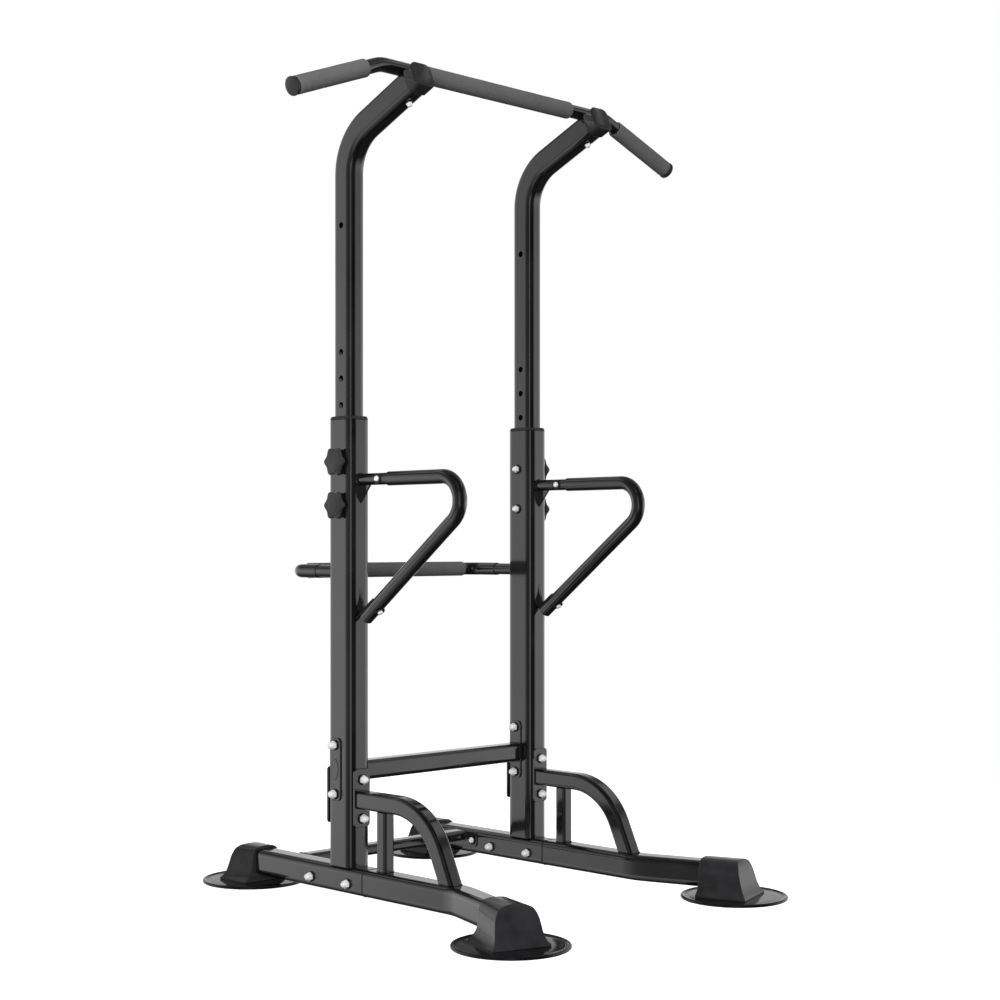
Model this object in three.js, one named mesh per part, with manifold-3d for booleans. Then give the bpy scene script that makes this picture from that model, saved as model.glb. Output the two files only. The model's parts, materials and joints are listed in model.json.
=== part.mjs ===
import * as THREE from "three";
import { mergeVertices } from "three/addons/utils/BufferGeometryUtils.js";
import Module from "manifold-3d";

const wasm = await Module();
wasm.setup();

// All lengths in millimetres. +Z is up, -Y is the side the user faces, X runs across the tower.
// The origin is on the floor in the middle of the footprint.

// Clearance left between pieces that touch on the real machine.
const GAP = 0.3;
const CORNER_STEPS = 3;
const BEND_STEP_DEG = 18;
const ROUND_STEPS = 16;
const FOAM_STEPS = 18;
const BOLT_STEPS = 8;

// Wall of every round tube.
const ROUND_WALL = 2;

// Uprights: the fixed outer tubes.
const UPRIGHT = { x: 289, y: 119.4, width: 62, depth: 82, corner: 18, wall: 2.5, bottom: 82.6, top: 1092 };
const UPRIGHT_FRONT = UPRIGHT.y - UPRIGHT.depth / 2;
const UPRIGHT_BACK = UPRIGHT.y + UPRIGHT.depth / 2;
const UPRIGHT_INNER = UPRIGHT.x - UPRIGHT.width / 2;
const UPRIGHT_OUTER = UPRIGHT.x + UPRIGHT.width / 2;

// Height lock: two star knobs on the outer face of each upright.
const LOCK_HEIGHTS = [996.5, 898];
const LOCK = { boss: 1.7, bossRadius: 13, bore: 5.3, shank: 5, tip: 24, tail: 44 };
const KNOB = { back: 39, front: 47.4, dome: 50, domeRadius: 19, lobes: 6, reach: 24, lobe: 9.5, waist: 27 };

// Telescoping upper tubes with their row of height holes.
const UPPER = { width: 47, depth: 63, corner: 16, wall: 2, bottom: 628, bend: 115, rise: 23.5, corner_z: 1723.8 };
const UPPER_HOLE_RADIUS = 7.3;
const UPPER_HOLES = [1532, 1245, 1185, 1125, 1086.5, 1026.5, 996.5, 898, 756.5, 658];
const BUSHING = { bottom: 1040, lip: 8, taper: 4, clearance: 0.5 };

// The saddle frame: s runs along the rising tube, n square to it, both from this point.
const SADDLE = {
  y: UPRIGHT.y - 189.5,
  z: 1806.2,
  tubeEnd: 33,
  front: 66,
  plug: -15,
  width: 55,
  depth: 60,
  corner: 14,
};
// The hollow between the bar and the saddle's front plate, as (s, n).
const SADDLE_HOLLOW = [
  [33, 40],
  [33, 8],
  [37, 1],
  [42, -10],
  [48, -18],
  [54, -22],
  [60, -23],
  [60, 40],
];
const SADDLE_BOLT = { s: 2, head: 7, headDepth: 9, shank: 4, depth: 26 };

// Pull-up bar.
const BAR = { radius: 16, s: 18.3, n: 42, z: 1852, bendX: 360, endX: 600, endZ: 1761.4, bend: 80 };
const BAR_GRIP = { radius: 20, middle: 235, start: 404, cap: 7 };

// Dip handles.
const HANDLE = { radius: 16, z: 956, seam: 138.5, cornerY: 470.3, bend: 53, legAngle: 37.23, stub: 13.5 };
const HANDLE_LOW = { y: 61, z: 645, end: 60 };
const BRACKET = { seam: 100, thickness: 2.6, wrap: 52, steps: 8, gussetDepth: 17, gussetHeight: 60, gussetHalf: 2.5 };

// Rear hand bar.
const REAR_BAR = { radius: 15.7, z: 748, seam: 105, y: 197, bend: 36, stub: 14, grip: 18.2, gripHalf: 250 };

// Lower crossbar with its end plates, and the washer plates on the outer faces.
const CROSSBAR = { side: 44, corner: 9, wall: 2, y: 9, z: 294, plate: 3 };
const END_PLATE = { width: 36, bottom: 230, top: 372, corner: 10 };

// Front braces.
const BRACE_PLATE = { thickness: 5, width: 46, backWidth: 55, bottom: 173, top: 304, backBottom: 176, corner: 8 };
const ARCH = { width: 38, depth: 40, corner: 8, wall: 2, z: 234.5, bend: 150, tangent: 170, legAngle: 65 };
const POST = { side: 30, corner: 6, y: 125.3, wall: 2 };

// Base rails.
const RAIL = { side: 60, corner: 14, wall: 2.5, z: 52, joint: 80, bendY: 369.9, splay: 18.2, bend: 150 };
const RAIL_INSERT = { rear: 60, front: 60, collar: 3, proud: 0.8, wall: 2.5 };
const RAIL_TOP = RAIL.z + RAIL.side / 2;
const CROSS_TUBE = { depth: 40, height: 26, corner: 8, y: 205, z: 66, plate: 3, plateHalf: 56, plateHeight: 38 };

// Feet.
const FRONT_FOOT = { x: 361.9, y: -473.1 };
const REAR_FOOT = { x: 290.6, y: 473.1 };
const DISC = { radius: 123, lip: 6, rim: 7.5, flat: 114, top: 5.2, steps: 28 };
const CAP = { bottom: 5.5, flange: 66, end: 50, rail: 8, frontMouth: -72, rearMouth: -45 };
// Half of the foot cap's section, as (distance from the middle at its mouth, the same at its end, height).
const CAP_ARCH = [
  [62, 66, 5.5],
  [62, 66, 9],
  [52, 60.5, 16],
  [43, 57, 28],
  [39, 54.5, 47],
  [38, 52.5, 60],
  [37, 48.5, 70],
  [33.5, 41.5, 80],
  [28, 33, 85],
  [20, 22, 88],
  [8, 8, 89.5],
];
// The foot cap's leaning end seen from the side, as (distance along the rail, height).
const CAP_END = [
  [50, 5.5],
  [50, 9],
  [42, 20],
  [37, 32],
  [24, 79],
  [19, 87],
  [15, 89.5],
];

const SIDE_X = new THREE.Vector3(1, 0, 0);
const SIDE_Y = new THREE.Vector3(0, 1, 0);
const SIDE_Z = new THREE.Vector3(0, 0, 1);

const radians = THREE.MathUtils.degToRad;

// ---------------------------------------------------------------- solids

function toManifold(geometry) {
  geometry.deleteAttribute("normal");
  geometry.deleteAttribute("uv");
  const merged = mergeVertices(geometry, 1e-4);
  return new wasm.Manifold(new wasm.Mesh({
    numProp: 3,
    vertProperties: new Float32Array(merged.attributes.position.array),
    triVerts: new Uint32Array(merged.index.array),
  }));
}

function toGeometry(manifold) {
  const mesh = manifold.getMesh();
  const geometry = new THREE.BufferGeometry();
  geometry.setAttribute("position", new THREE.BufferAttribute(new Float32Array(mesh.vertProperties), 3));
  geometry.setIndex(new THREE.BufferAttribute(new Uint32Array(mesh.triVerts), 1));
  geometry.computeVertexNormals();
  return geometry;
}

// ---------------------------------------------------------------- outlines

function roundedRect(width, height, corner, steps = CORNER_STEPS) {
  const points = [];
  const centres = [[1, 1], [-1, 1], [-1, -1], [1, -1]];
  centres.forEach(([sx, sy], quarter) => {
    for (let i = 0; i <= steps; i += 1) {
      const angle = (quarter + i / steps) * (Math.PI / 2);
      const x = sx * (width / 2 - corner) + corner * Math.cos(angle);
      const y = sy * (height / 2 - corner) + corner * Math.sin(angle);
      points.push(new THREE.Vector2(x, y));
    }
  });
  return points;
}

function circle(radius, steps = ROUND_STEPS) {
  const points = [];
  for (let i = 0; i < steps; i += 1) {
    const angle = ((i + 0.5) / steps) * Math.PI * 2;
    points.push(new THREE.Vector2(radius * Math.cos(angle), radius * Math.sin(angle)));
  }
  return points;
}

function polygon(pairs) {
  return pairs.map(([x, y]) => new THREE.Vector2(x, y));
}

function outline(points, hole) {
  const shape = new THREE.Shape(points);
  if (hole) {
    shape.holes.push(new THREE.Path(hole));
  }
  return shape;
}

function tubeSection(width, depth, corner, wall) {
  return outline(
    roundedRect(width, depth, corner),
    roundedRect(width - 2 * wall, depth - 2 * wall, corner - wall),
  );
}

function roundTube(radius) {
  return outline(circle(radius), circle(radius - ROUND_WALL));
}

// ---------------------------------------------------------------- sweeps

// A path of straight runs and round bends; the section keeps one side square to a fixed direction.
class BentPath extends THREE.Curve {
  constructor(stations, side) {
    super();
    this.stations = stations;
    this.side = side;
  }

  getSpacedPoints() {
    return this.stations.map((station) => station.point);
  }

  computeFrenetFrames() {
    const tangents = this.stations.map((station) => station.tangent);
    const normals = tangents.map(() => this.side.clone());
    const binormals = tangents.map((tangent) => new THREE.Vector3().crossVectors(tangent, this.side).normalize());
    return { tangents, normals, binormals };
  }
}

function bentStations(corners) {
  const stations = [];
  const last = corners.length - 1;
  corners.forEach(({ at, bend }, i) => {
    const arriving = i > 0 ? at.clone().sub(corners[i - 1].at).normalize() : null;
    const leaving = i < last ? corners[i + 1].at.clone().sub(at).normalize() : null;
    if (!arriving || !leaving) {
      stations.push({ point: at.clone(), tangent: arriving || leaving });
      return;
    }
    const turn = arriving.angleTo(leaving);
    const start = at.clone().addScaledVector(arriving, -bend * Math.tan(turn / 2));
    const inward = leaving.clone().addScaledVector(arriving, -leaving.dot(arriving)).normalize();
    const centre = start.clone().addScaledVector(inward, bend);
    const steps = Math.ceil(turn / radians(BEND_STEP_DEG));
    for (let k = 0; k <= steps; k += 1) {
      const angle = (turn * k) / steps;
      const point = centre.clone()
        .addScaledVector(inward, -bend * Math.cos(angle))
        .addScaledVector(arriving, bend * Math.sin(angle));
      const tangent = arriving.clone().multiplyScalar(Math.cos(angle)).addScaledVector(inward, Math.sin(angle));
      stations.push({ point, tangent });
    }
  });
  return stations;
}

function sweep(corners, shape, side) {
  const stations = bentStations(corners);
  const path = new BentPath(stations, side);
  const geometry = new THREE.ExtrudeGeometry(shape, { steps: stations.length - 1, extrudePath: path });
  return toManifold(geometry);
}

function corner(x, y, z, bend = 0) {
  return { at: new THREE.Vector3(x, y, z), bend };
}

// Extrudes an outline along X (drawn in Y, Z), along Y (drawn in Z, X) or along Z (drawn in X, Y).
function prism(shape, axis, from, to) {
  const drawn = Array.isArray(shape) ? outline(shape) : shape;
  const geometry = new THREE.ExtrudeGeometry(drawn, { depth: to - from, bevelEnabled: false });
  geometry.translate(0, 0, from);
  const bases = {
    X: [SIDE_Y, SIDE_Z, SIDE_X],
    Y: [SIDE_Z, SIDE_X, SIDE_Y],
    Z: [SIDE_X, SIDE_Y, SIDE_Z],
  };
  geometry.applyMatrix4(new THREE.Matrix4().makeBasis(...bases[axis]));
  return toManifold(geometry);
}

function rod(axis, centre, radius, from, to, steps = ROUND_STEPS) {
  const [u, v] = centre;
  const points = circle(radius, steps).map((point) => new THREE.Vector2(point.x + u, point.y + v));
  return prism(points, axis, from, to);
}

function turned(profile, steps) {
  return toManifold(new THREE.LatheGeometry(polygon(profile), steps).rotateX(Math.PI / 2));
}

// Joins rings with the same number of points into one closed skin.
function loft(rings) {
  const count = rings[0].length;
  const positions = rings.flat().flatMap((point) => [point.x, point.y, point.z]);
  const index = [];
  for (let r = 0; r < rings.length - 1; r += 1) {
    for (let i = 0; i < count; i += 1) {
      const a = r * count + i;
      const b = r * count + ((i + 1) % count);
      index.push(a, b, b + count, a, b + count, a + count);
    }
  }
  const top = (rings.length - 1) * count;
  for (let i = 1; i < count - 1; i += 1) {
    index.push(0, i + 1, i);
    index.push(top, top + i, top + i + 1);
  }
  const geometry = new THREE.BufferGeometry();
  geometry.setAttribute("position", new THREE.Float32BufferAttribute(positions, 3));
  geometry.setIndex(index);
  return toManifold(geometry);
}

function levelRing(points, z) {
  return points.map((point) => new THREE.Vector3(point.x, point.y, z));
}

function turnAboutZ(solid, degrees) {
  return solid.rotate([0, 0, degrees]);
}

// ---------------------------------------------------------------- uprights

function upright() {
  const section = tubeSection(UPRIGHT.width, UPRIGHT.depth, UPRIGHT.corner, UPRIGHT.wall);
  let solid = prism(section, "Z", UPRIGHT.bottom, UPRIGHT.top).translate([UPRIGHT.x, UPRIGHT.y, 0]);
  for (const z of LOCK_HEIGHTS) {
    const axis = [UPRIGHT.y, z];
    const boss = rod("X", axis, LOCK.bossRadius, UPRIGHT_OUTER - UPRIGHT.wall / 2, UPRIGHT_OUTER + LOCK.boss);
    const bore = rod("X", axis, LOCK.bore, UPRIGHT.x, UPRIGHT_OUTER + 2 * LOCK.boss, 12);
    solid = solid.add(boss).subtract(bore);
  }
  return solid;
}

function guideBushing() {
  const inner = UPRIGHT.wall + GAP;
  const sleeve = roundedRect(UPRIGHT.width - 2 * inner, UPRIGHT.depth - 2 * inner, UPRIGHT.corner - inner);
  const lip = roundedRect(UPRIGHT.width, UPRIGHT.depth, UPRIGHT.corner);
  const rim = roundedRect(UPRIGHT.width - 2 * BUSHING.taper, UPRIGHT.depth - 2 * BUSHING.taper,
    UPRIGHT.corner - BUSHING.taper);
  const lipBottom = UPRIGHT.top + GAP;
  const lipTop = UPRIGHT.top + BUSHING.lip;
  const opening = roundedRect(UPPER.width + 2 * BUSHING.clearance, UPPER.depth + 2 * BUSHING.clearance,
    UPPER.corner + BUSHING.clearance);
  return loft([levelRing(lip, lipBottom), levelRing(lip, lipBottom + 2), levelRing(rim, lipTop)])
    .add(prism(sleeve, "Z", BUSHING.bottom, lipBottom + 1))
    .subtract(prism(opening, "Z", BUSHING.bottom - 1, lipTop + 1))
    .translate([UPRIGHT.x, UPRIGHT.y, 0]);
}

// ---------------------------------------------------------------- telescoping upper frame

// Turns (s, n) beside the saddle into a (Y, Z) point.
function saddlePoint(s, n) {
  const rise = radians(UPPER.rise);
  const y = SADDLE.y - s * Math.cos(rise) + n * Math.sin(rise);
  const z = SADDLE.z + s * Math.sin(rise) + n * Math.cos(rise);
  return [y, z];
}

function saddlePrism(points, from, to) {
  return prism(polygon(points.map(([s, n]) => saddlePoint(s, n))), "X", from, to);
}

function barNotch(halfLength = UPPER.width) {
  const centre = saddlePoint(BAR.s, BAR.n);
  return rod("X", centre, BAR.radius + GAP, UPRIGHT.x - halfLength, UPRIGHT.x + halfLength);
}

function saddleRun(from, to, shape) {
  const [y0, z0] = saddlePoint(from, 0);
  const [y1, z1] = saddlePoint(to, 0);
  return sweep([corner(UPRIGHT.x, y0, z0), corner(UPRIGHT.x, y1, z1)], shape, SIDE_X);
}

function alongNormal(s, from, to, radius, steps = ROUND_STEPS) {
  const [y0, z0] = saddlePoint(s, from);
  const [y1, z1] = saddlePoint(s, to);
  return sweep([corner(UPRIGHT.x, y0, z0), corner(UPRIGHT.x, y1, z1)], outline(circle(radius, steps)), SIDE_X);
}

function upperTube() {
  const [endY, endZ] = saddlePoint(SADDLE.tubeEnd, 0);
  const section = tubeSection(UPPER.width, UPPER.depth, UPPER.corner, UPPER.wall);
  let solid = sweep([
    corner(UPRIGHT.x, UPRIGHT.y, UPPER.bottom),
    corner(UPRIGHT.x, UPRIGHT.y, UPPER.corner_z, UPPER.bend),
    corner(UPRIGHT.x, endY, endZ),
  ], section, SIDE_X);
  for (const z of UPPER_HOLES) {
    const reach = UPPER.width / 2 + 1;
    solid = solid.subtract(
      rod("X", [UPRIGHT.y, z], UPPER_HOLE_RADIUS, UPRIGHT.x - reach, UPRIGHT.x + reach, BOLT_STEPS),
    );
  }
  const half = UPPER.depth / 2;
  const boltHole = alongNormal(SADDLE_BOLT.s, -half - 1, -half + 2 * UPPER.wall, SADDLE_BOLT.shank + GAP, 12);
  return solid.subtract(barNotch()).subtract(boltHole);
}

// A plug inside the tube's end and a wider arched block in front of it.
function barSaddle() {
  const half = UPPER.depth / 2;
  const slack = UPPER.wall + GAP;
  const plug = outline(roundedRect(UPPER.width - 2 * slack, UPPER.depth - 2 * slack, UPPER.corner - slack));
  const drop = (UPPER.depth - SADDLE.depth) / 2;
  const block = outline(
    roundedRect(SADDLE.width, SADDLE.depth, SADDLE.corner)
      .map((point) => new THREE.Vector2(point.x, point.y - drop)),
  );
  const hole = alongNormal(SADDLE_BOLT.s, -half - 1, -half + SADDLE_BOLT.depth + 2, SADDLE_BOLT.shank + GAP, 12);
  return saddleRun(SADDLE.plug, SADDLE.tubeEnd + 1, plug)
    .add(saddleRun(SADDLE.tubeEnd + GAP, SADDLE.front, block))
    .subtract(saddlePrism(SADDLE_HOLLOW, UPRIGHT_INNER, UPRIGHT_OUTER))
    .subtract(barNotch())
    .subtract(hole);
}

function saddleBolt() {
  const under = -UPPER.depth / 2 - GAP;
  const dome = alongNormal(SADDLE_BOLT.s, under - SADDLE_BOLT.headDepth, under, SADDLE_BOLT.head, 12);
  const flange = alongNormal(SADDLE_BOLT.s, under - 2, under, SADDLE_BOLT.head + 2.5, 16);
  const shank = alongNormal(SADDLE_BOLT.s, under - 1, under + SADDLE_BOLT.depth, SADDLE_BOLT.shank, 12);
  return dome.add(flange).add(shank);
}

const [BAR_Y, BAR_Z] = saddlePoint(BAR.s, BAR.n);
const BAR_SLOPE = (BAR_Z - BAR.endZ) / (BAR.endX - BAR.bendX);

function barHeight(x) {
  return BAR_Z - Math.max(0, Math.abs(x) - BAR.bendX) * BAR_SLOPE;
}

function pullupBar() {
  return sweep([
    corner(-BAR.endX, BAR_Y, BAR.endZ),
    corner(-BAR.bendX, BAR_Y, BAR_Z, BAR.bend),
    corner(BAR.bendX, BAR_Y, BAR_Z, BAR.bend),
    corner(BAR.endX, BAR_Y, BAR.endZ),
  ], roundTube(BAR.radius), SIDE_Y);
}

function foamSection(radius, bore) {
  return outline(circle(radius, FOAM_STEPS), circle(bore + GAP, FOAM_STEPS));
}

function barRun(from, to, shape) {
  return sweep([corner(from, BAR_Y, barHeight(from)), corner(to, BAR_Y, barHeight(to))], shape, SIDE_Y);
}

function middleGrip() {
  return barRun(-BAR_GRIP.middle, BAR_GRIP.middle, foamSection(BAR_GRIP.radius, BAR.radius));
}

function endGrip() {
  return barRun(BAR_GRIP.start, BAR.endX - BAR_GRIP.cap, foamSection(BAR_GRIP.radius, BAR.radius));
}

function barEndCap() {
  const start = BAR.endX - BAR_GRIP.cap + GAP;
  const section = foamSection(BAR_GRIP.radius - 0.6, BAR.radius);
  const ring = barRun(start, BAR.endX + 2, section);
  const disc = barRun(BAR.endX + GAP, BAR.endX + 4, outline(circle(BAR_GRIP.radius + 0.6, FOAM_STEPS)));
  return ring.add(disc);
}

// ---------------------------------------------------------------- height locks

function knobOutline() {
  const points = [];
  const spread = 5;
  for (let lobe = 0; lobe < KNOB.lobes; lobe += 1) {
    const heading = (lobe / KNOB.lobes) * Math.PI * 2;
    const cx = KNOB.reach * Math.cos(heading);
    const cy = KNOB.reach * Math.sin(heading);
    for (let i = 0; i <= spread; i += 1) {
      const angle = heading + (i / spread - 0.5) * Math.PI;
      points.push(new THREE.Vector2(cx + KNOB.lobe * Math.cos(angle), cy + KNOB.lobe * Math.sin(angle)));
    }
    const dip = heading + Math.PI / KNOB.lobes;
    points.push(new THREE.Vector2(KNOB.waist * Math.cos(dip), KNOB.waist * Math.sin(dip)));
  }
  return points;
}

function lockKnob(z) {
  const star = prism(knobOutline(), "X", KNOB.back, KNOB.front);
  const dome = rod("X", [0, 0], KNOB.domeRadius, KNOB.front - 1, KNOB.dome);
  const bore = rod("X", [0, 0], LOCK.shank + GAP, KNOB.back - 1, LOCK.tail + GAP, 12);
  return star.add(dome).subtract(bore).translate([UPRIGHT.x, UPRIGHT.y, z]);
}

function lockPin(z) {
  return rod("X", [0, 0], LOCK.shank, LOCK.tip, LOCK.tail, 12).translate([UPRIGHT.x, UPRIGHT.y, z]);
}

// ---------------------------------------------------------------- dip handles

// A point on the handle's return leg, at a distance in front of the upright's centre line.
function handleLeg(ahead) {
  const rise = (ahead - HANDLE_LOW.y) * Math.tan(radians(HANDLE.legAngle));
  return corner(UPRIGHT.x, UPRIGHT.y - ahead, HANDLE_LOW.z + rise);
}

function dipHandle() {
  return sweep([
    corner(UPRIGHT.x, UPRIGHT.y - HANDLE.seam, HANDLE.z),
    corner(UPRIGHT.x, UPRIGHT.y - HANDLE.cornerY, HANDLE.z, HANDLE.bend),
    handleLeg(HANDLE_LOW.end),
  ], roundTube(HANDLE.radius), SIDE_X);
}

function dipUpperStub() {
  const front = UPRIGHT_FRONT - GAP;
  const end = UPRIGHT.y - HANDLE.seam + GAP;
  const stub = rod("Y", [HANDLE.z, UPRIGHT.x], HANDLE.stub, end, front);
  const low = HANDLE.z - HANDLE.stub;
  const gusset = prism(polygon([
    [front - 35, low + 3],
    [front, low - 39],
    [front, low + 3],
  ]), "X", UPRIGHT.x - 2.5, UPRIGHT.x + 2.5);
  return stub.add(gusset);
}

// A half shell over the low end of the handle, with a gusset up the front of the upright.
function dipLowerBracket() {
  const inner = HANDLE.radius + GAP;
  const outer = inner + BRACKET.thickness;
  const reach = radians(BRACKET.wrap);
  const shell = [outer, -inner].flatMap((radius) => {
    const points = [];
    for (let i = 0; i <= BRACKET.steps; i += 1) {
      const angle = reach * Math.sign(radius) * ((2 * i) / BRACKET.steps - 1);
      points.push(new THREE.Vector2(Math.abs(radius) * Math.sin(-angle), Math.abs(radius) * Math.cos(angle)));
    }
    return points;
  });
  const face = UPRIGHT_FRONT - GAP;
  const run = sweep([handleLeg(0), handleLeg(BRACKET.seam)], outline(shell), SIDE_X);
  const shellTop = (outer - BRACKET.thickness / 3) / Math.cos(radians(HANDLE.legAngle));
  const nearTop = handleLeg(UPRIGHT.y - face).at.z + shellTop;
  const farTop = handleLeg(UPRIGHT.y - face + BRACKET.gussetDepth).at.z + shellTop;
  const gusset = prism(polygon([
    [face, nearTop],
    [face, nearTop + BRACKET.gussetHeight],
    [face - 0.2 * BRACKET.gussetDepth, nearTop + 0.62 * BRACKET.gussetHeight],
    [face - 0.5 * BRACKET.gussetDepth, nearTop + 0.35 * BRACKET.gussetHeight],
    [face - BRACKET.gussetDepth, farTop],
  ]), "X", UPRIGHT.x - BRACKET.gussetHalf, UPRIGHT.x + BRACKET.gussetHalf);
  const room = prism(polygon([
    [face - 200, 500],
    [face, 500],
    [face, 800],
    [face - 200, 800],
  ]), "X", UPRIGHT_INNER, UPRIGHT_OUTER);
  return run.add(gusset).intersect(room);
}

// ---------------------------------------------------------------- rear hand bar

function rearBar() {
  const seam = UPRIGHT.y + REAR_BAR.seam;
  const back = UPRIGHT.y + REAR_BAR.y;
  return sweep([
    corner(-UPRIGHT.x, seam, REAR_BAR.z),
    corner(-UPRIGHT.x, back, REAR_BAR.z, REAR_BAR.bend),
    corner(UPRIGHT.x, back, REAR_BAR.z, REAR_BAR.bend),
    corner(UPRIGHT.x, seam, REAR_BAR.z),
  ], roundTube(REAR_BAR.radius), SIDE_Z);
}

function rearBarStub() {
  return rod("Y", [REAR_BAR.z, UPRIGHT.x], REAR_BAR.stub, UPRIGHT_BACK + GAP, UPRIGHT.y + REAR_BAR.seam - GAP);
}

function rearBarGrip() {
  const y = UPRIGHT.y + REAR_BAR.y;
  return sweep([corner(-REAR_BAR.gripHalf, y, REAR_BAR.z), corner(REAR_BAR.gripHalf, y, REAR_BAR.z)],
    foamSection(REAR_BAR.grip, REAR_BAR.radius), SIDE_Z);
}

// ---------------------------------------------------------------- lower crossbar

function endPlate(from, to, y) {
  const middle = (END_PLATE.bottom + END_PLATE.top) / 2;
  const points = roundedRect(END_PLATE.width, END_PLATE.top - END_PLATE.bottom, END_PLATE.corner)
    .map((point) => new THREE.Vector2(point.x + y, point.y + middle));
  return prism(points, "X", from, to);
}

function crossbar() {
  const y = UPRIGHT.y + CROSSBAR.y;
  const outer = UPRIGHT_INNER - GAP;
  const inner = outer - CROSSBAR.plate;
  const section = tubeSection(CROSSBAR.side, CROSSBAR.side, CROSSBAR.corner, CROSSBAR.wall);
  const tube = prism(section, "X", -inner - 1, inner + 1).translate([0, y, CROSSBAR.z]);
  const breather = rod("Z", [0, y], 3, CROSSBAR.z - CROSSBAR.side, CROSSBAR.z, 8);
  return tube.add(endPlate(inner, outer, y)).add(endPlate(-outer, -inner, y)).subtract(breather);
}

function crossbarWasherPlate() {
  const face = UPRIGHT_OUTER + GAP;
  return endPlate(face, face + CROSSBAR.plate, UPRIGHT.y + CROSSBAR.y);
}

// ---------------------------------------------------------------- front braces

function bracePlate(width, bottom, from, to) {
  const { top } = BRACE_PLATE;
  const points = roundedRect(top - bottom, width, BRACE_PLATE.corner)
    .map((point) => new THREE.Vector2(point.x + (bottom + top) / 2, point.y + UPRIGHT.x));
  return prism(points, "Y", from, to);
}

function braceFrontPlate() {
  const face = UPRIGHT_FRONT - GAP;
  return bracePlate(BRACE_PLATE.width, BRACE_PLATE.bottom, face - BRACE_PLATE.thickness, face);
}

function braceBackPlate() {
  const face = UPRIGHT_BACK + GAP;
  return bracePlate(BRACE_PLATE.backWidth, BRACE_PLATE.backBottom, face, face + BRACE_PLATE.thickness);
}

function archBrace() {
  const start = UPRIGHT_FRONT - BRACE_PLATE.thickness - 2 * GAP;
  const angle = radians(ARCH.legAngle);
  const cornerY = UPRIGHT.y - ARCH.tangent - ARCH.bend * Math.tan(angle / 2);
  const legLength = (ARCH.z - RAIL_TOP) / Math.sin(angle) + ARCH.depth;
  const sweptTube = sweep([
    corner(UPRIGHT.x, start, ARCH.z),
    corner(UPRIGHT.x, cornerY, ARCH.z, ARCH.bend),
    corner(UPRIGHT.x, cornerY - legLength * Math.cos(angle), ARCH.z - legLength * Math.sin(angle)),
  ], tubeSection(ARCH.width, ARCH.depth, ARCH.corner, ARCH.wall), SIDE_X);
  const room = prism(roundedRect(2 * ARCH.width, 1200, 1), "Z", RAIL_TOP + GAP, 2 * ARCH.z)
    .translate([UPRIGHT.x, 0, 0]);
  return sweptTube.intersect(room);
}

function bracePost() {
  const section = tubeSection(POST.side, POST.side, POST.corner, POST.wall);
  return prism(section, "Z", RAIL_TOP + GAP, ARCH.z - ARCH.depth / 2 - GAP)
    .translate([UPRIGHT.x, UPRIGHT.y - POST.y, 0]);
}

// ---------------------------------------------------------------- base rails

const RAIL_JOINT_Y = UPRIGHT.y - RAIL.joint;
const RAIL_BEND_Y = UPRIGHT.y - RAIL.bendY;
const SPLAY = radians(RAIL.splay);

function railSection() {
  return tubeSection(RAIL.side, RAIL.side, RAIL.corner, RAIL.wall);
}

function rearRail() {
  const seam = RAIL_JOINT_Y + RAIL_INSERT.collar / 2 + GAP;
  return sweep([corner(UPRIGHT.x, seam, RAIL.z), corner(UPRIGHT.x, REAR_FOOT.y + CAP.rail, RAIL.z)],
    railSection(), SIDE_Z);
}

function frontRail() {
  const seam = RAIL_JOINT_Y - RAIL_INSERT.collar / 2 - GAP;
  const reach = (RAIL_BEND_Y - FRONT_FOOT.y) / Math.cos(SPLAY) + CAP.rail;
  return sweep([
    corner(UPRIGHT.x, seam, RAIL.z),
    corner(UPRIGHT.x, RAIL_BEND_Y, RAIL.z, RAIL.bend),
    corner(UPRIGHT.x + reach * Math.sin(SPLAY), RAIL_BEND_Y - reach * Math.cos(SPLAY), RAIL.z),
  ], railSection(), SIDE_Z);
}

function railInsert() {
  const slack = RAIL.wall + GAP;
  const side = RAIL.side - 2 * slack;
  const inner = tubeSection(side, side, RAIL.corner - slack, RAIL_INSERT.wall);
  const collarSide = RAIL.side + 2 * RAIL_INSERT.proud;
  const collar = outline(
    roundedRect(collarSide, collarSide, RAIL.corner),
    roundedRect(side - 2, side - 2, RAIL.corner - slack - 1),
  );
  const half = RAIL_INSERT.collar / 2;
  return prism(inner, "Y", RAIL_JOINT_Y - RAIL_INSERT.front, RAIL_JOINT_Y + RAIL_INSERT.rear)
    .add(prism(collar, "Y", RAIL_JOINT_Y - half, RAIL_JOINT_Y + half))
    .translate([UPRIGHT.x, 0, RAIL.z]);
}

function rearCrossTube() {
  const y = UPRIGHT.y + CROSS_TUBE.y;
  const outer = UPRIGHT.x - RAIL.side / 2 - GAP;
  const inner = outer - CROSS_TUBE.plate;
  const section = outline(
    roundedRect(CROSS_TUBE.depth, CROSS_TUBE.height, CROSS_TUBE.corner),
    roundedRect(CROSS_TUBE.depth - 4, CROSS_TUBE.height - 4, CROSS_TUBE.corner - 2),
  );
  const tube = prism(section, "X", -inner - 1, inner + 1).translate([0, y, CROSS_TUBE.z]);
  const plate = roundedRect(2 * CROSS_TUBE.plateHalf, CROSS_TUBE.plateHeight, 10);
  const ends = [[inner, outer], [-outer, -inner]].map(([from, to]) => (
    prism(plate, "X", from, to).translate([0, y, CROSS_TUBE.z - 8])
  ));
  const breather = rod("Z", [0, y], 3, 0, CROSS_TUBE.z, 8);
  return tube.add(ends[0]).add(ends[1]).subtract(breather);
}

// ---------------------------------------------------------------- feet

function footDisc(foot) {
  return turned([
    [0, 0],
    [DISC.radius, 0],
    [DISC.radius, DISC.lip],
    [DISC.radius - 2, DISC.rim],
    [DISC.radius - 5, DISC.rim],
    [DISC.flat, DISC.top],
    [0, DISC.top],
  ], DISC.steps).translate([foot.x, foot.y, 0]);
}

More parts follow.
